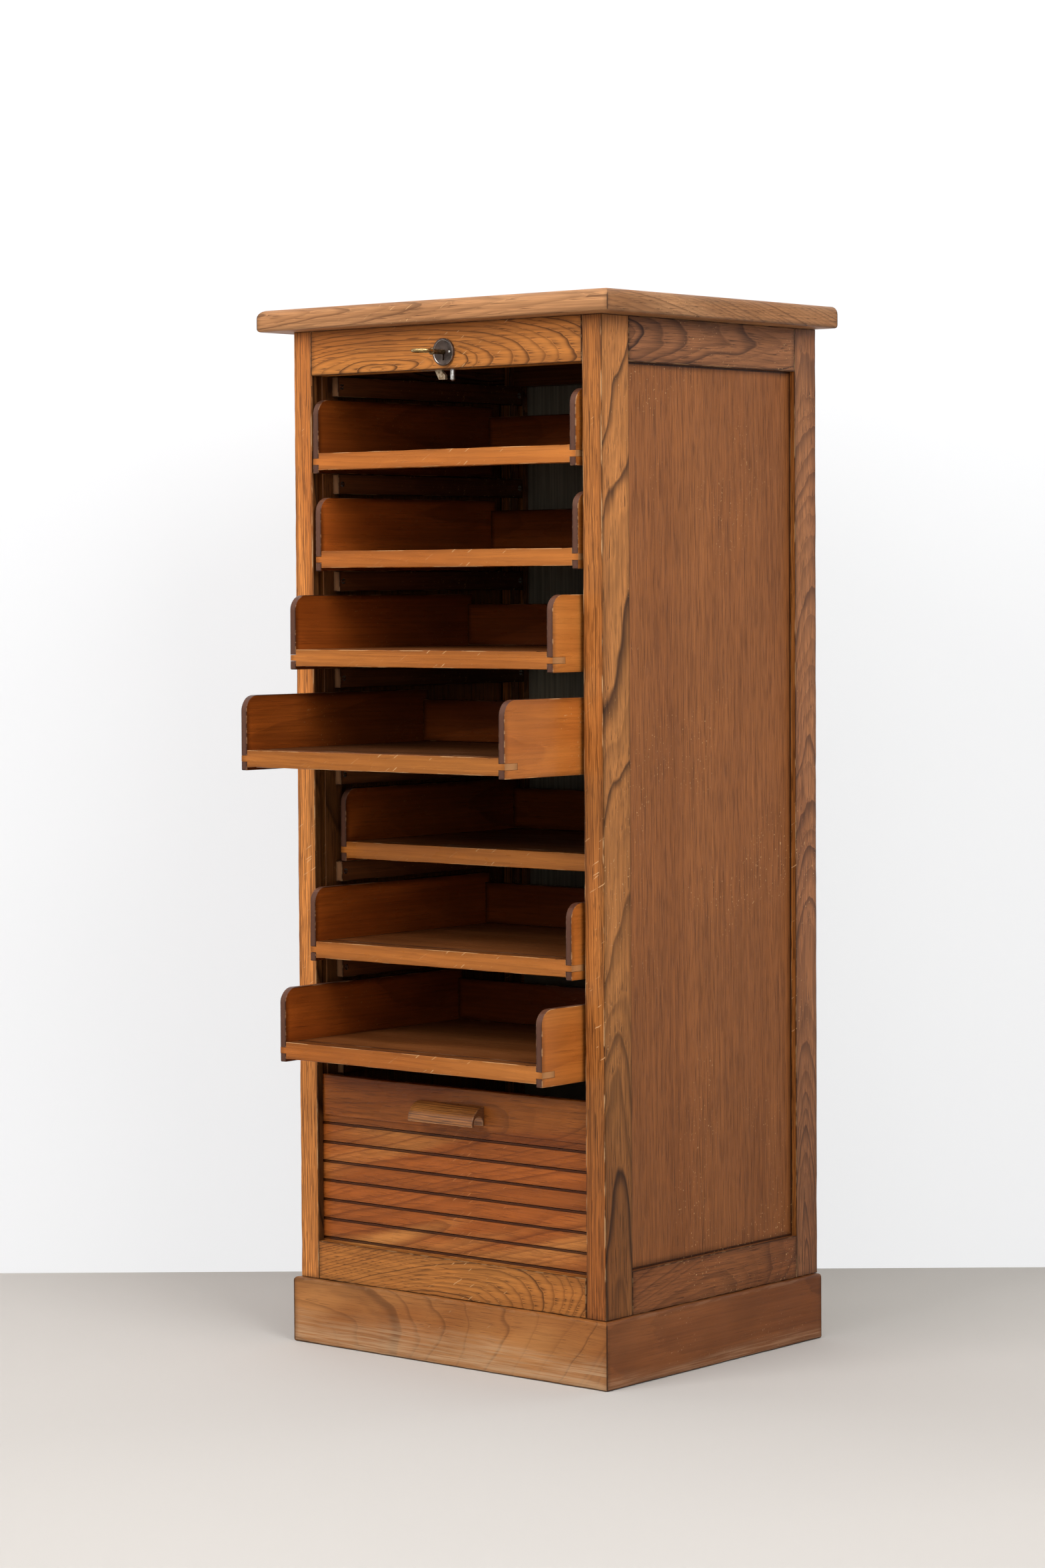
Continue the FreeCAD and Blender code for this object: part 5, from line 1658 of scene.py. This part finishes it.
@dataclass
class Tray:
    """A tray of five boards; its front rail's tongues show on the outside of its sides.

    The tones are for trays 1 to 7, from the top one down. Those of the left sides, whose inner faces show,
    are painted light and painted shade, and those of the floors are painted shade from the tray above.
    """

    number: int
    rail_tones: tuple[float, ...] = (0.9, 0.4, 0.0, -0.8, 0.0, 0.0, 0.0)
    inner_painted_shading: tuple[float, ...] = (-1.2, 2.2, 0.0, -0.8, 0.6, 2.0, 0.6)
    floor_painted_shade: tuple[float, ...] = (0.0, 0.0, 0.0, -3.0, -0.6, 0.0, 0.0)
    side_thick: float = 8.4 * MM
    corner: float = 17 * MM
    rail_depth: float = 20.5 * MM
    rail_lift: float = 3.4 * MM
    rail_height: float = 19 * MM
    tongue: float = 7 * MM
    floor_thick: float = 5 * MM
    back_inset: float = 1.6 * MM
    back_gap: float = 0.2 * MM
    low: Vector = field(init=False)
    high: Vector = field(init=False)

    def __post_init__(self) -> None:
        """Read the tray's place from the frame."""
        self.low, self.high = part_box(f"{self.body}_sides")

    @property
    def body(self) -> str:
        """The body that the tray's pieces ride on."""
        return f"tray_{self.number}"

    @property
    def inside(self) -> float:
        """The distance from the middle to the inner face of a side."""
        return self.high.x - self.side_thick

    @property
    def slot(self) -> Point:
        """Lower and upper height of the slot for a tongue."""
        middle = self.low.z + self.rail_lift + self.rail_height / 2
        return middle - self.tongue / 2, middle + self.tongue / 2

    def build(self) -> None:
        """Make the two sides, the rail, the floor and the back."""
        for side in Side:
            self.side(side)
        self.rail()
        self.floor_and_back()

    def side(self, side: Side) -> None:
        """Make a side with its rounded corner and its open slot.

        Args:
            side: Which side.
        """
        seed = 100 + self.number * 7 + side.value
        front, back, base, top = self.low.y, self.high.y, self.low.z, self.high.z
        below, above = self.slot
        centre = (front + self.corner, top - self.corner)
        outline = [(front, base), (back, base), (back, top), *arc(centre, self.corner, 90, 180, 12),
                   (front, above), (front + self.rail_depth, above), (front + self.rail_depth, below),
                   (front, below)]
        low, high = sorted((self.inside * side.value, self.high.x * side.value))
        shape = prism(outline, Axis.X, low, high)
        soften(shape, 1.0 * MM, 2, lambda edge: is_arris(edge) and not self.in_slot(edge))
        rub(shape, 0.35 * MM, seed)
        shape.normal_update()
        for face in shape.faces:
            facing = face.normal.x * side.value
            face.material_index = 0 if facing > 0.7 else 2 if facing < -0.7 else 1
        pith = side.value * (90 + 17 * (self.number % 3)) * MM
        # The left side's tone is painted light and painted shade, tray by tray, on its inner face
        tone = self.inner_painted_shading[self.number - 1] if side is Side.LEFT else 0.5
        cut = Cut(Axis.Y, Axis.X, pith, 10 * MM * (self.number % 4), 0.05, 0.06, seed, tone)
        finish_piece(f"{self.body}_side_{side.word}", shape, self.body,
                     [TRAY_WOOD, TRAY_EDGE, TRAY_INSIDE_SHADED], cut, [f"{self.body}_sides"])

    def in_slot(self, edge: BMEdge) -> bool:
        """Whether an edge belongs to the slot.

        Args:
            edge: The edge.

        Returns:
            Whether it does.
        """
        below, above = self.slot
        end = self.low.y + self.rail_depth
        return all(below - TOUCH < vert.co.z < above + TOUCH and vert.co.y < end + TOUCH
                   for vert in edge.verts)

    def rail(self) -> None:
        """Make the front rail with a tongue at each end."""
        seed = 200 + self.number * 3
        outer, inside = self.high.x, self.inside
        base = self.low.z + self.rail_lift
        top = base + self.rail_height
        below, above = self.slot
        half = [(inside, base), (inside, below), (outer, below), (outer, above), (inside, above),
                (inside, top)]
        outline = half + [(-x, z) for x, z in reversed(half)]
        shape = prism(outline, Axis.Y, self.low.y, self.low.y + self.rail_depth)
        divide(shape, Axis.X, PART)
        soften(shape, 0.9 * MM, 2, lambda edge: is_arris(edge) and abs(edge.verts[0].co.x) < inside - 1 * MM)
        soften(shape, 0.3 * MM, 1, is_arris, 0.6)
        rub(shape, 0.45 * MM, seed)
        shape.normal_update()
        for face in shape.faces:
            face.material_index = int(face.normal.z > 0.85)
        cut = Cut(Axis.X, Axis.Z, 75 * MM, 12 * MM * (self.number % 3), 0.03, 0.03, seed,
                  self.rail_tones[self.number - 1])
        finish_piece(f"{self.body}_rail", shape, self.body, [TRAY_WOOD, TRAY_FLOOR], cut,
                     [f"{self.body}_front_rail"])

    def floor_and_back(self) -> None:
        """Make the floor between the sides and the low back on it."""
        node = f"{self.body}_floor_and_back"
        seed = 300 + self.number * 5
        top = self.low.z + self.rail_lift + self.rail_height
        floor = plank(Vector((-self.inside, self.low.y + self.rail_depth, top - self.floor_thick)),
                      Vector((self.inside, self.high.y, top)), Axis.X, 0.4 * MM, 0.0)
        # The floor's tone is painted shade from the tray above
        cut = Cut(Axis.X, Axis.Z, 140 * MM, 25 * MM * (self.number % 3), 0.02, 0.03, seed,
                  self.floor_painted_shade[self.number - 1])
        finish_piece(f"{self.body}_floor", floor, self.body, [TRAY_FLOOR], cut, [node])
        face = self.high.y - self.back_inset
        end = self.inside - self.back_gap
        back = plank(Vector((-end, face - self.side_thick, top)), Vector((end, face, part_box(node)[1].z)),
                     Axis.X, 0.8 * MM, 0.3 * MM, seed)
        cut = Cut(Axis.X, Axis.Y, 85 * MM, 6 * MM, 0.03, 0.02, seed + 2)
        finish_piece(f"{self.body}_back", back, self.body, [TRAY_INSIDE_SHADED], cut, [node])


# The shutter


@dataclass
class Shutter:
    """The lead rail with its pull, the slats below it and the canvas behind them."""

    face_front: float = 7 * MM
    slat_front: float = 10 * MM
    slat_back: float = 16 * MM
    lip: float = 7.5 * MM
    face_end: float = 190 * MM
    pitch: float = 21.5 * MM
    gap: float = 0.6 * MM
    bead: float = 2.4 * MM
    bead_step: float = 1.3 * MM
    still_below: float = 36 * MM
    canvas_columns: int = 24
    canvas_rows: int = 60
    pull_lip: float = 3.6 * MM
    pull_plate: float = 2.2 * MM
    pull_hollow: float = 11 * MM
    seed: int = 81
    # How pale or dark each front slat is, from the top one down
    tones: tuple[float, ...] = (0.1, 0.9, 0.2, 0.8, 0.4, 0.2, 0.4, 0.0)

    def build(self) -> None:
        """Make every piece of the shutter that shows in front."""
        self.lead_rail()
        self.pull()
        self.front_slats()
        self.canvas()

    def lead_rail(self) -> None:
        """Make the thick first slat, with its proud face and its lip."""
        low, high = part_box("shutter_lead_rail")
        shape = block(Vector((low.x, self.slat_front, low.z)), Vector((high.x, self.slat_back, high.z)))
        soften(shape, 0.5 * MM, 2)
        face = block(Vector((-self.face_end, self.face_front, low.z + self.lip)),
                     Vector((self.face_end, self.slat_front, high.z)))
        divide(face, Axis.X, PART)
        soften(face, 1.6 * MM, 3, lambda edge: is_arris(edge) and self.at_front(edge))
        rub(face, 0.5 * MM, 61)
        cut = Cut(Axis.X, Axis.Y, 34 * MM, -12 * MM, 0.10, 0.16, 61)
        stand_in("shutter_lead_rail", "grained", join(shape, face), [LEAD_WOOD], cut, Body.SHUTTER)

    def at_front(self, edge: BMEdge) -> bool:
        """Whether an edge lies in the lead rail's front face."""
        return all(abs(vert.co.y - self.face_front) < TOUCH for vert in edge.verts)

    def pull(self) -> None:
        """Make the hooked finger pull: a quarter round with a hollow below."""
        low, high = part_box("shutter_pull")
        reach, height = high.y - low.y, high.z - low.z
        radius = reach * reach / (2 * height) + height / 2
        inner, outer = low.y + self.pull_lip, high.y - self.pull_plate
        half = (outer - inner) / 2
        end = 180 + math.degrees(math.asin((high.z - radius - low.z) / radius))
        outline = [*arc((high.y, high.z - radius), radius, 90, end, 14), (inner, low.z),
                   *arc(((inner + outer) / 2, low.z + self.pull_hollow - half), half, 180, 0, 10),
                   (outer, low.z), (high.y, low.z)]
        shape = prism(outline, Axis.X, low.x, high.x)
        soften(shape, 0.9 * MM, 3)
        cut = Cut(Axis.X, Axis.Z, -26 * MM, 8 * MM, 0.05, 0.03, 71)
        stand_in("shutter_pull", "carved", shape, [PULL_WOOD], cut, Body.SHUTTER)

    def front_slats(self) -> None:
        """Make the slats below the lead rail, which on the cabinet bend into the track; these pieces stay
        flat.
        """
        low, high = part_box("shutter_slats")
        middle = (low + high) / 2
        step = self.slat_front + self.bead_step
        for number, tone in enumerate(self.tones):
            cut = Cut(Axis.X, Axis.Y, 26 * MM, -8 * MM, 0.04, 0.26, self.seed, tone)
            top = high.z - self.pitch * number
            bottom = top - self.pitch + self.gap
            outline = [(self.slat_back, top), (step, top), (step, top - self.bead),
                       (self.slat_front, top - self.bead), (self.slat_front, bottom),
                       (self.slat_back, bottom)]
            shape = moulding(outline, Axis.X, low.x, high.x, 0.5 * MM, 0.2 * MM, self.seed + number)
            # Painted shade in the recess under the bead
            paint_recess_shade(shape, Vector((low.x, self.slat_front + 0.4 * MM, top - self.bead - 0.1 * MM)),
                        Vector((high.x, self.slat_back - 0.1 * MM, top + 1 * MM)))
            slat = finish_piece(f"shutter_slat_{number + 1}", shape, None, [SHUTTER_WOOD], cut,
                                ["shutter_slats"], middle)
            self.bend_into_track(slat)

    def bend_into_track(self, piece: bpy.types.Object) -> None:
        """Bake a piece's place into its mesh; the piece is not bent."""
        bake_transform(piece)

    def canvas(self) -> None:
        """Make the canvas behind the front slats, as a sheet with a little thickness."""
        low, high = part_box("shutter_canvas")
        shape = bmesh.new()
        bmesh.ops.create_grid(shape, x_segments=self.canvas_columns, y_segments=self.canvas_rows, size=0.5)
        bmesh.ops.rotate(shape, cent=(0, 0, 0), matrix=UPRIGHT, verts=shape.verts)
        bmesh.ops.scale(shape, vec=(high.x - low.x, 1.0, high.z - low.z), verts=shape.verts)
        bmesh.ops.translate(shape, vec=(low + high) / 2, verts=shape.verts)
        sheet = finish_piece("shutter_canvas_glued", shape, None, [CANVAS], None, ["shutter_canvas"])
        thick = sheet.modifiers.new("thickness", "SOLIDIFY")
        thick.thickness = (high.y - low.y) * 0.9
        thick.offset = 0.0
        self.bend_into_track(sheet)


# The lock


@dataclass
class Lock:
    """The dished plate, the key in it, the pin and the hook."""

    rim: float = 2.3 * MM
    plate_pin_gap: float = 8.6 * MM
    plate_pin_radius: float = 1.5 * MM
    plate_pin_depth: float = 1.25 * MM
    stem_radius: float = 2.0 * MM
    barrel_radius: float = 2.8 * MM
    collar_radius: float = 3.9 * MM
    shoulder_depth: float = 1.5 * MM
    bit_length: float = 7.5 * MM
    bit_thick: float = 2.0 * MM
    bit_run: Point = (11.3 * MM, 15.7 * MM)
    bow_radius: float = 10.4 * MM
    bow_wire: float = 1.85 * MM

    def build(self) -> None:
        """Make the pieces that show."""
        self.plate()
        self.key()
        self.softened("locating_pin", Body.CARCASS, STEEL, 0.3 * MM)
        self.softened("hook_bolt", Body.HOOK, CHIPPED, 0.4 * MM)

    @staticmethod
    def softened(node: str, body: Body, finish: MetalFinish, width: float) -> None:
        """Finish a copy of a metal node with its edges broken.

        Args:
            node: The node.
            body: What it moves with.
            finish: Its finish.
            width: How much its edges are broken.
        """
        shape = copied(node)
        soften(shape, width, 2)
        stand_in(node, "dressed", shape, [finish], body=body)

    def plate(self) -> None:
        """Make the escutcheon from the node's shape, with its two pins."""
        low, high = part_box("escutcheon")
        centre = (low + high) / 2
        plate = copied("escutcheon")
        soften(plate, 0.22 * MM, 2)
        inner = (high.x - low.x) / 2 - self.rim
        for face in plate.faces:
            across = face.calc_center_median() - centre
            face.material_index = int(math.hypot(across.x, across.z) > inner)
        stand_in("escutcheon", "dressed", plate, [BRONZED, RUBBED_RIM])
        pins = bmesh.new()
        for shift in (-self.plate_pin_gap, self.plate_pin_gap):
            head = bmesh.new()
            bmesh.ops.create_uvsphere(head, u_segments=16, v_segments=10, radius=self.plate_pin_radius)
            bmesh.ops.scale(head, vec=(1, 0.5, 1), verts=head.verts)
            place = (centre.x + shift, low.y + self.plate_pin_depth, centre.z)
            bmesh.ops.translate(head, vec=place, verts=head.verts)
            join(pins, head)
        finish_piece("escutcheon_pins", pins, Body.CARCASS.value, [STEEL])

    def key(self) -> None:
        """Make the key: a turned stem with a collar, a bit, and a ring bow lying level."""
        low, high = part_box("key")
        plate_low, plate_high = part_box("escutcheon")
        centre = Vector(((plate_low.x + plate_high.x) / 2, 0, (low.z + high.z) / 2))
        back = low.y + 2 * (self.bow_radius + self.bow_wire)
        shoulder = plate_low.y + self.shoulder_depth
        edge = 0.3 * MM
        stem, barrel, collar = self.stem_radius, self.barrel_radius, self.collar_radius
        eased = collar - 0.7 * MM
        profile = [(0, back - 1.5 * MM), (stem, back - 1.2 * MM), (stem, back + 1 * MM),
                   (eased, back + 1.4 * MM), (collar, back + 2.1 * MM), (collar, back + 3.2 * MM),
                   (eased, back + 3.9 * MM), (barrel, back + 4.5 * MM), (barrel, shoulder - edge),
                   (barrel - edge, shoulder), (stem, shoulder), (stem, high.y - edge), (0, high.y)]
        shaft = turned(profile, centre, 28)
        half = Vector((0, 0, self.bit_thick / 2))
        bit = block(Vector((centre.x - self.bit_length, self.bit_run[0], centre.z)) - half,
                    Vector((centre.x, self.bit_run[1], centre.z)) + half)
        soften(bit, 0.2 * MM, 1)
        finish_piece("key_stem", join(shaft, bit), Body.KEY.value, [DARK_BRASS], None, ["key"])
        ring = bmesh.new()
        bow_y = low.y + self.bow_radius + self.bow_wire
        bmesh.ops.create_circle(ring, cap_ends=False, segments=14, radius=self.bow_wire)
        bmesh.ops.rotate(ring, cent=(0, 0, 0), matrix=UPRIGHT, verts=ring.verts)
        bmesh.ops.translate(ring, vec=(centre.x + self.bow_radius, bow_y, centre.z), verts=ring.verts)
        bmesh.ops.spin(ring, geom=ring.verts[:] + ring.edges[:], cent=(centre.x, bow_y, centre.z),
                       axis=(0, 0, 1), angle=math.tau, steps=44, use_merge=True)
        finish_piece("key_bow", ring, Body.KEY.value, [BRASS], None, ["key"])


@dataclass
class HiddenNodes:
    """The nodes that keep their own shape and only take a finish."""

    wood: dict[str, tuple[WoodFinish, Axis]] = field(default_factory=lambda: {
        "rear_top_rail": (RUNNER_WOOD, Axis.X),
        "base_board": (PLAIN_WOOD, Axis.Y),
        "track_board_left": (PLAIN_WOOD, Axis.Y),
        "track_board_right": (PLAIN_WOOD, Axis.Y),
        "stored_slats": (SHUTTER_WOOD, Axis.X),
    })
    other: dict[str, Finish] = field(default_factory=lambda: {
        "lock_case": STEEL,
        "pull_screws": STEEL,
        "stored_canvas": CANVAS,
    })

    def build(self) -> None:
        """Give each node its finish."""
        for node, (finish, along) in self.wood.items():
            self.dress(node, finish.material(Source.OBJECT, along))
        for node, finish in self.other.items():
            self.dress(node, finish.material())

    @staticmethod
    def dress(node: str, material: bpy.types.Material) -> None:
        """Put a material in every slot of a node.

        Args:
            node: The node.
            material: The material.
        """
        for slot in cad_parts[node].material_slots:
            slot.material = material
        log.info("%s: dressed with %s", node, material.name)


# The studio


@dataclass
class Studio:
    """A pale floor and wall, soft lamps and the camera."""

    camera_place: Triple = (2.802, -3.174, 0.847)
    yaw: float = 40.31
    pitch: float = -2.92
    roll: float = -0.33
    lens: float = 90.3
    wall_distance: float = 4.82
    wall_height: float = 4.0
    room: float = 9.0
    floor_colour: Colour = (0.54, 0.512, 0.482)
    wall_colour: Colour = (0.90, 0.905, 0.915)
    daylight: float = 0.26
    aim: Triple = (0.0, 0.1, 0.6)
    # Each lamp's name, place, width and watts
    lamps: tuple[tuple[str, Triple, float, float], ...] = (
        ("key_softbox", (-0.5, -3.0, 2.6), 2.0, 82.0), ("side_softbox", (2.8, -0.8, 2.6), 1.8, 80.0),
        ("top_softbox", (0.2, -0.9, 3.6), 2.4, 30.0), ("fill_softbox", (2.3, -3.4, 1.5), 1.6, 12.0))

    def build(self) -> None:
        """Make the room, the lamps and the camera."""
        self.floor_and_wall()
        self.world()
        for name, place, size, power in self.lamps:
            self.lamp(name, place, size, power)
        self.camera()

    def across(self) -> tuple[Vector, Vector]:
        """The level directions to the camera's right and ahead of it."""
        turn = math.radians(self.yaw)
        return Vector((math.cos(turn), math.sin(turn), 0)), Vector((-math.sin(turn), math.cos(turn), 0))

    def floor_and_wall(self) -> None:
        """Make a level floor and an upright wall behind the cabinet."""
        right, ahead = self.across()
        foot = Vector((self.camera_place[0], self.camera_place[1], 0)) + ahead * self.wall_distance
        floor = bmesh.new()
        bmesh.ops.create_grid(floor, x_segments=1, y_segments=1, size=self.room)
        finish_stage("floor", floor, self.floor_colour, False)
        wall = bmesh.new()
        rise = Vector((0, 0, self.wall_height))
        corners = [foot - right * self.room, foot + right * self.room,
                   foot + right * self.room + rise, foot - right * self.room + rise]
        wall.faces.new([wall.verts.new(corner) for corner in corners])
        wall.normal_update()
        finish_stage("wall", wall, self.wall_colour, True)

    def world(self) -> None:
        """Light the scene evenly, and show white to the camera and to shiny things."""
        world = bpy.data.worlds.new("studio")
        bpy.context.scene.world = world
        world.use_nodes = True
        tree = world.node_tree
        tree.nodes.clear()
        rays = tree.nodes.new("ShaderNodeLightPath")
        seen = rays.outputs["Is Camera Ray"]
        for ray in ("Is Glossy Ray", "Is Transmission Ray"):
            either = tree.nodes.new("ShaderNodeMath")
            either.operation = "MAXIMUM"
            tree.links.new(seen, either.inputs[0])
            tree.links.new(rays.outputs[ray], either.inputs[1])
            seen = either.outputs[0]
        strength = tree.nodes.new("ShaderNodeMapRange")
        strength.inputs["To Min"].default_value = self.daylight
        tree.links.new(seen, strength.inputs["Value"])
        background = tree.nodes.new("ShaderNodeBackground")
        tree.links.new(strength.outputs["Result"], background.inputs["Strength"])
        output = tree.nodes.new("ShaderNodeOutputWorld")
        tree.links.new(background.outputs[0], output.inputs["Surface"])

    def lamp(self, name: str, place: Triple, size: float, power: float) -> None:
        """Hang a square softbox that faces the cabinet.

        Args:
            name: Its name.
            place: Where it hangs.
            size: How wide it is.
            power: Its watts.
        """
        light = bpy.data.lights.new(name, "AREA")
        light.size = size
        light.energy = power
        lamp = bpy.data.objects.new(name, light)
        lamp.location = place
        towards = Vector(self.aim) - Vector(place)
        lamp.rotation_euler = towards.to_track_quat("-Z", "Y").to_euler()
        bpy.context.scene.collection.objects.link(lamp)

    def camera(self) -> None:
        """Put the camera where the photograph was taken from."""
        right, ahead = self.across()
        tip = math.radians(self.pitch)
        forward = ahead * math.cos(tip) + Vector((0, 0, math.sin(tip)))
        up = right.cross(forward)
        turn = math.radians(self.roll)
        tilted_right = right * math.cos(turn) + up * math.sin(turn)
        tilted_up = up * math.cos(turn) - right * math.sin(turn)
        data = bpy.data.cameras.new("camera")
        data.lens = self.lens
        data.sensor_width = 36.0
        data.clip_end = 60.0
        camera = bpy.data.objects.new("camera", data)
        turned_to = Matrix((tilted_right, tilted_up, -forward)).transposed()
        camera.matrix_world = Matrix.Translation(self.camera_place) @ turned_to.to_4x4()
        bpy.context.scene.collection.objects.link(camera)
        bpy.context.scene.camera = camera
        bpy.context.scene.view_settings.view_transform = "Standard"


def finish_stage(name: str, shape: BMesh, colour: Colour, one_sided: bool) -> None:
    """Turn a shape into a part of the room.

    Args:
        name: Its name.
        shape: Its shape, which is used up.
        colour: Its colour.
        one_sided: Whether it can't be seen from behind; such a part also glows with painted light that grows
            brighter higher up.
    """
    nodes = Nodes(name)
    place = nodes.here()
    cloud = nodes.ramp(nodes.noise(place, (0.8, 0.8, 0.8), 2.0), 0.3, 0.7, 0.97, 1.02)
    shader = nodes.add("ShaderNodeBsdfDiffuse", {"Color": nodes.scaled(colour, cloud)})
    last = shader.outputs[0]
    if one_sided:
        # Painted light: to the camera and to shiny things the wall glows, brighter higher up, as if lit from
        # above
        level = nodes.ramp(nodes.parts(place)[2], 0.6, 1.7, 1.04, 1.18)
        painted_glow = nodes.add("ShaderNodeEmission", {"Color": (*colour, 1.0), "Strength": level})
        rays = nodes.add("ShaderNodeLightPath").outputs
        shiny = nodes.math("MAXIMUM", rays["Is Glossy Ray"], rays["Is Transmission Ray"])
        seen = nodes.math("MULTIPLY", nodes.math("MAXIMUM", rays["Is Camera Ray"], shiny), 0.7)
        pale = nodes.add("ShaderNodeMixShader", {"Fac": seen})
        nodes.feed(pale.inputs[1], last)
        nodes.feed(pale.inputs[2], painted_glow.outputs[0])
        last = pale.outputs[0]
        clear = nodes.add("ShaderNodeBsdfTransparent")
        behind = nodes.math("MAXIMUM", nodes.add("ShaderNodeNewGeometry").outputs["Backfacing"],
                            rays["Is Shadow Ray"])
        choice = nodes.add("ShaderNodeMixShader", {"Fac": behind})
        nodes.feed(choice.inputs[1], last)
        nodes.feed(choice.inputs[2], clear.outputs[0])
        last = choice.outputs[0]
    nodes.add("ShaderNodeOutputMaterial", {"Surface": last})
    mesh = bpy.data.meshes.new(name)
    shape.to_mesh(mesh)
    shape.free()
    mesh.materials.append(nodes.material)
    thing = bpy.data.objects.new(name, mesh)
    bpy.context.scene.collection.objects.link(thing)


def main() -> None:
    """Build the cabinet and its room, logging each piece's faces as it is made."""
    logging.basicConfig(level=logging.INFO, format="%(name)s: %(message)s")
    TopSlab().build()
    CarcassFrame().build()
    Plinth().build()
    Inside().build()
    for number in range(1, TRAY_COUNT + 1):
        Tray(number).build()
    Shutter().build()
    Lock().build()
    HiddenNodes().build()
    Studio().build()


if __name__ == "__main__":
    main()
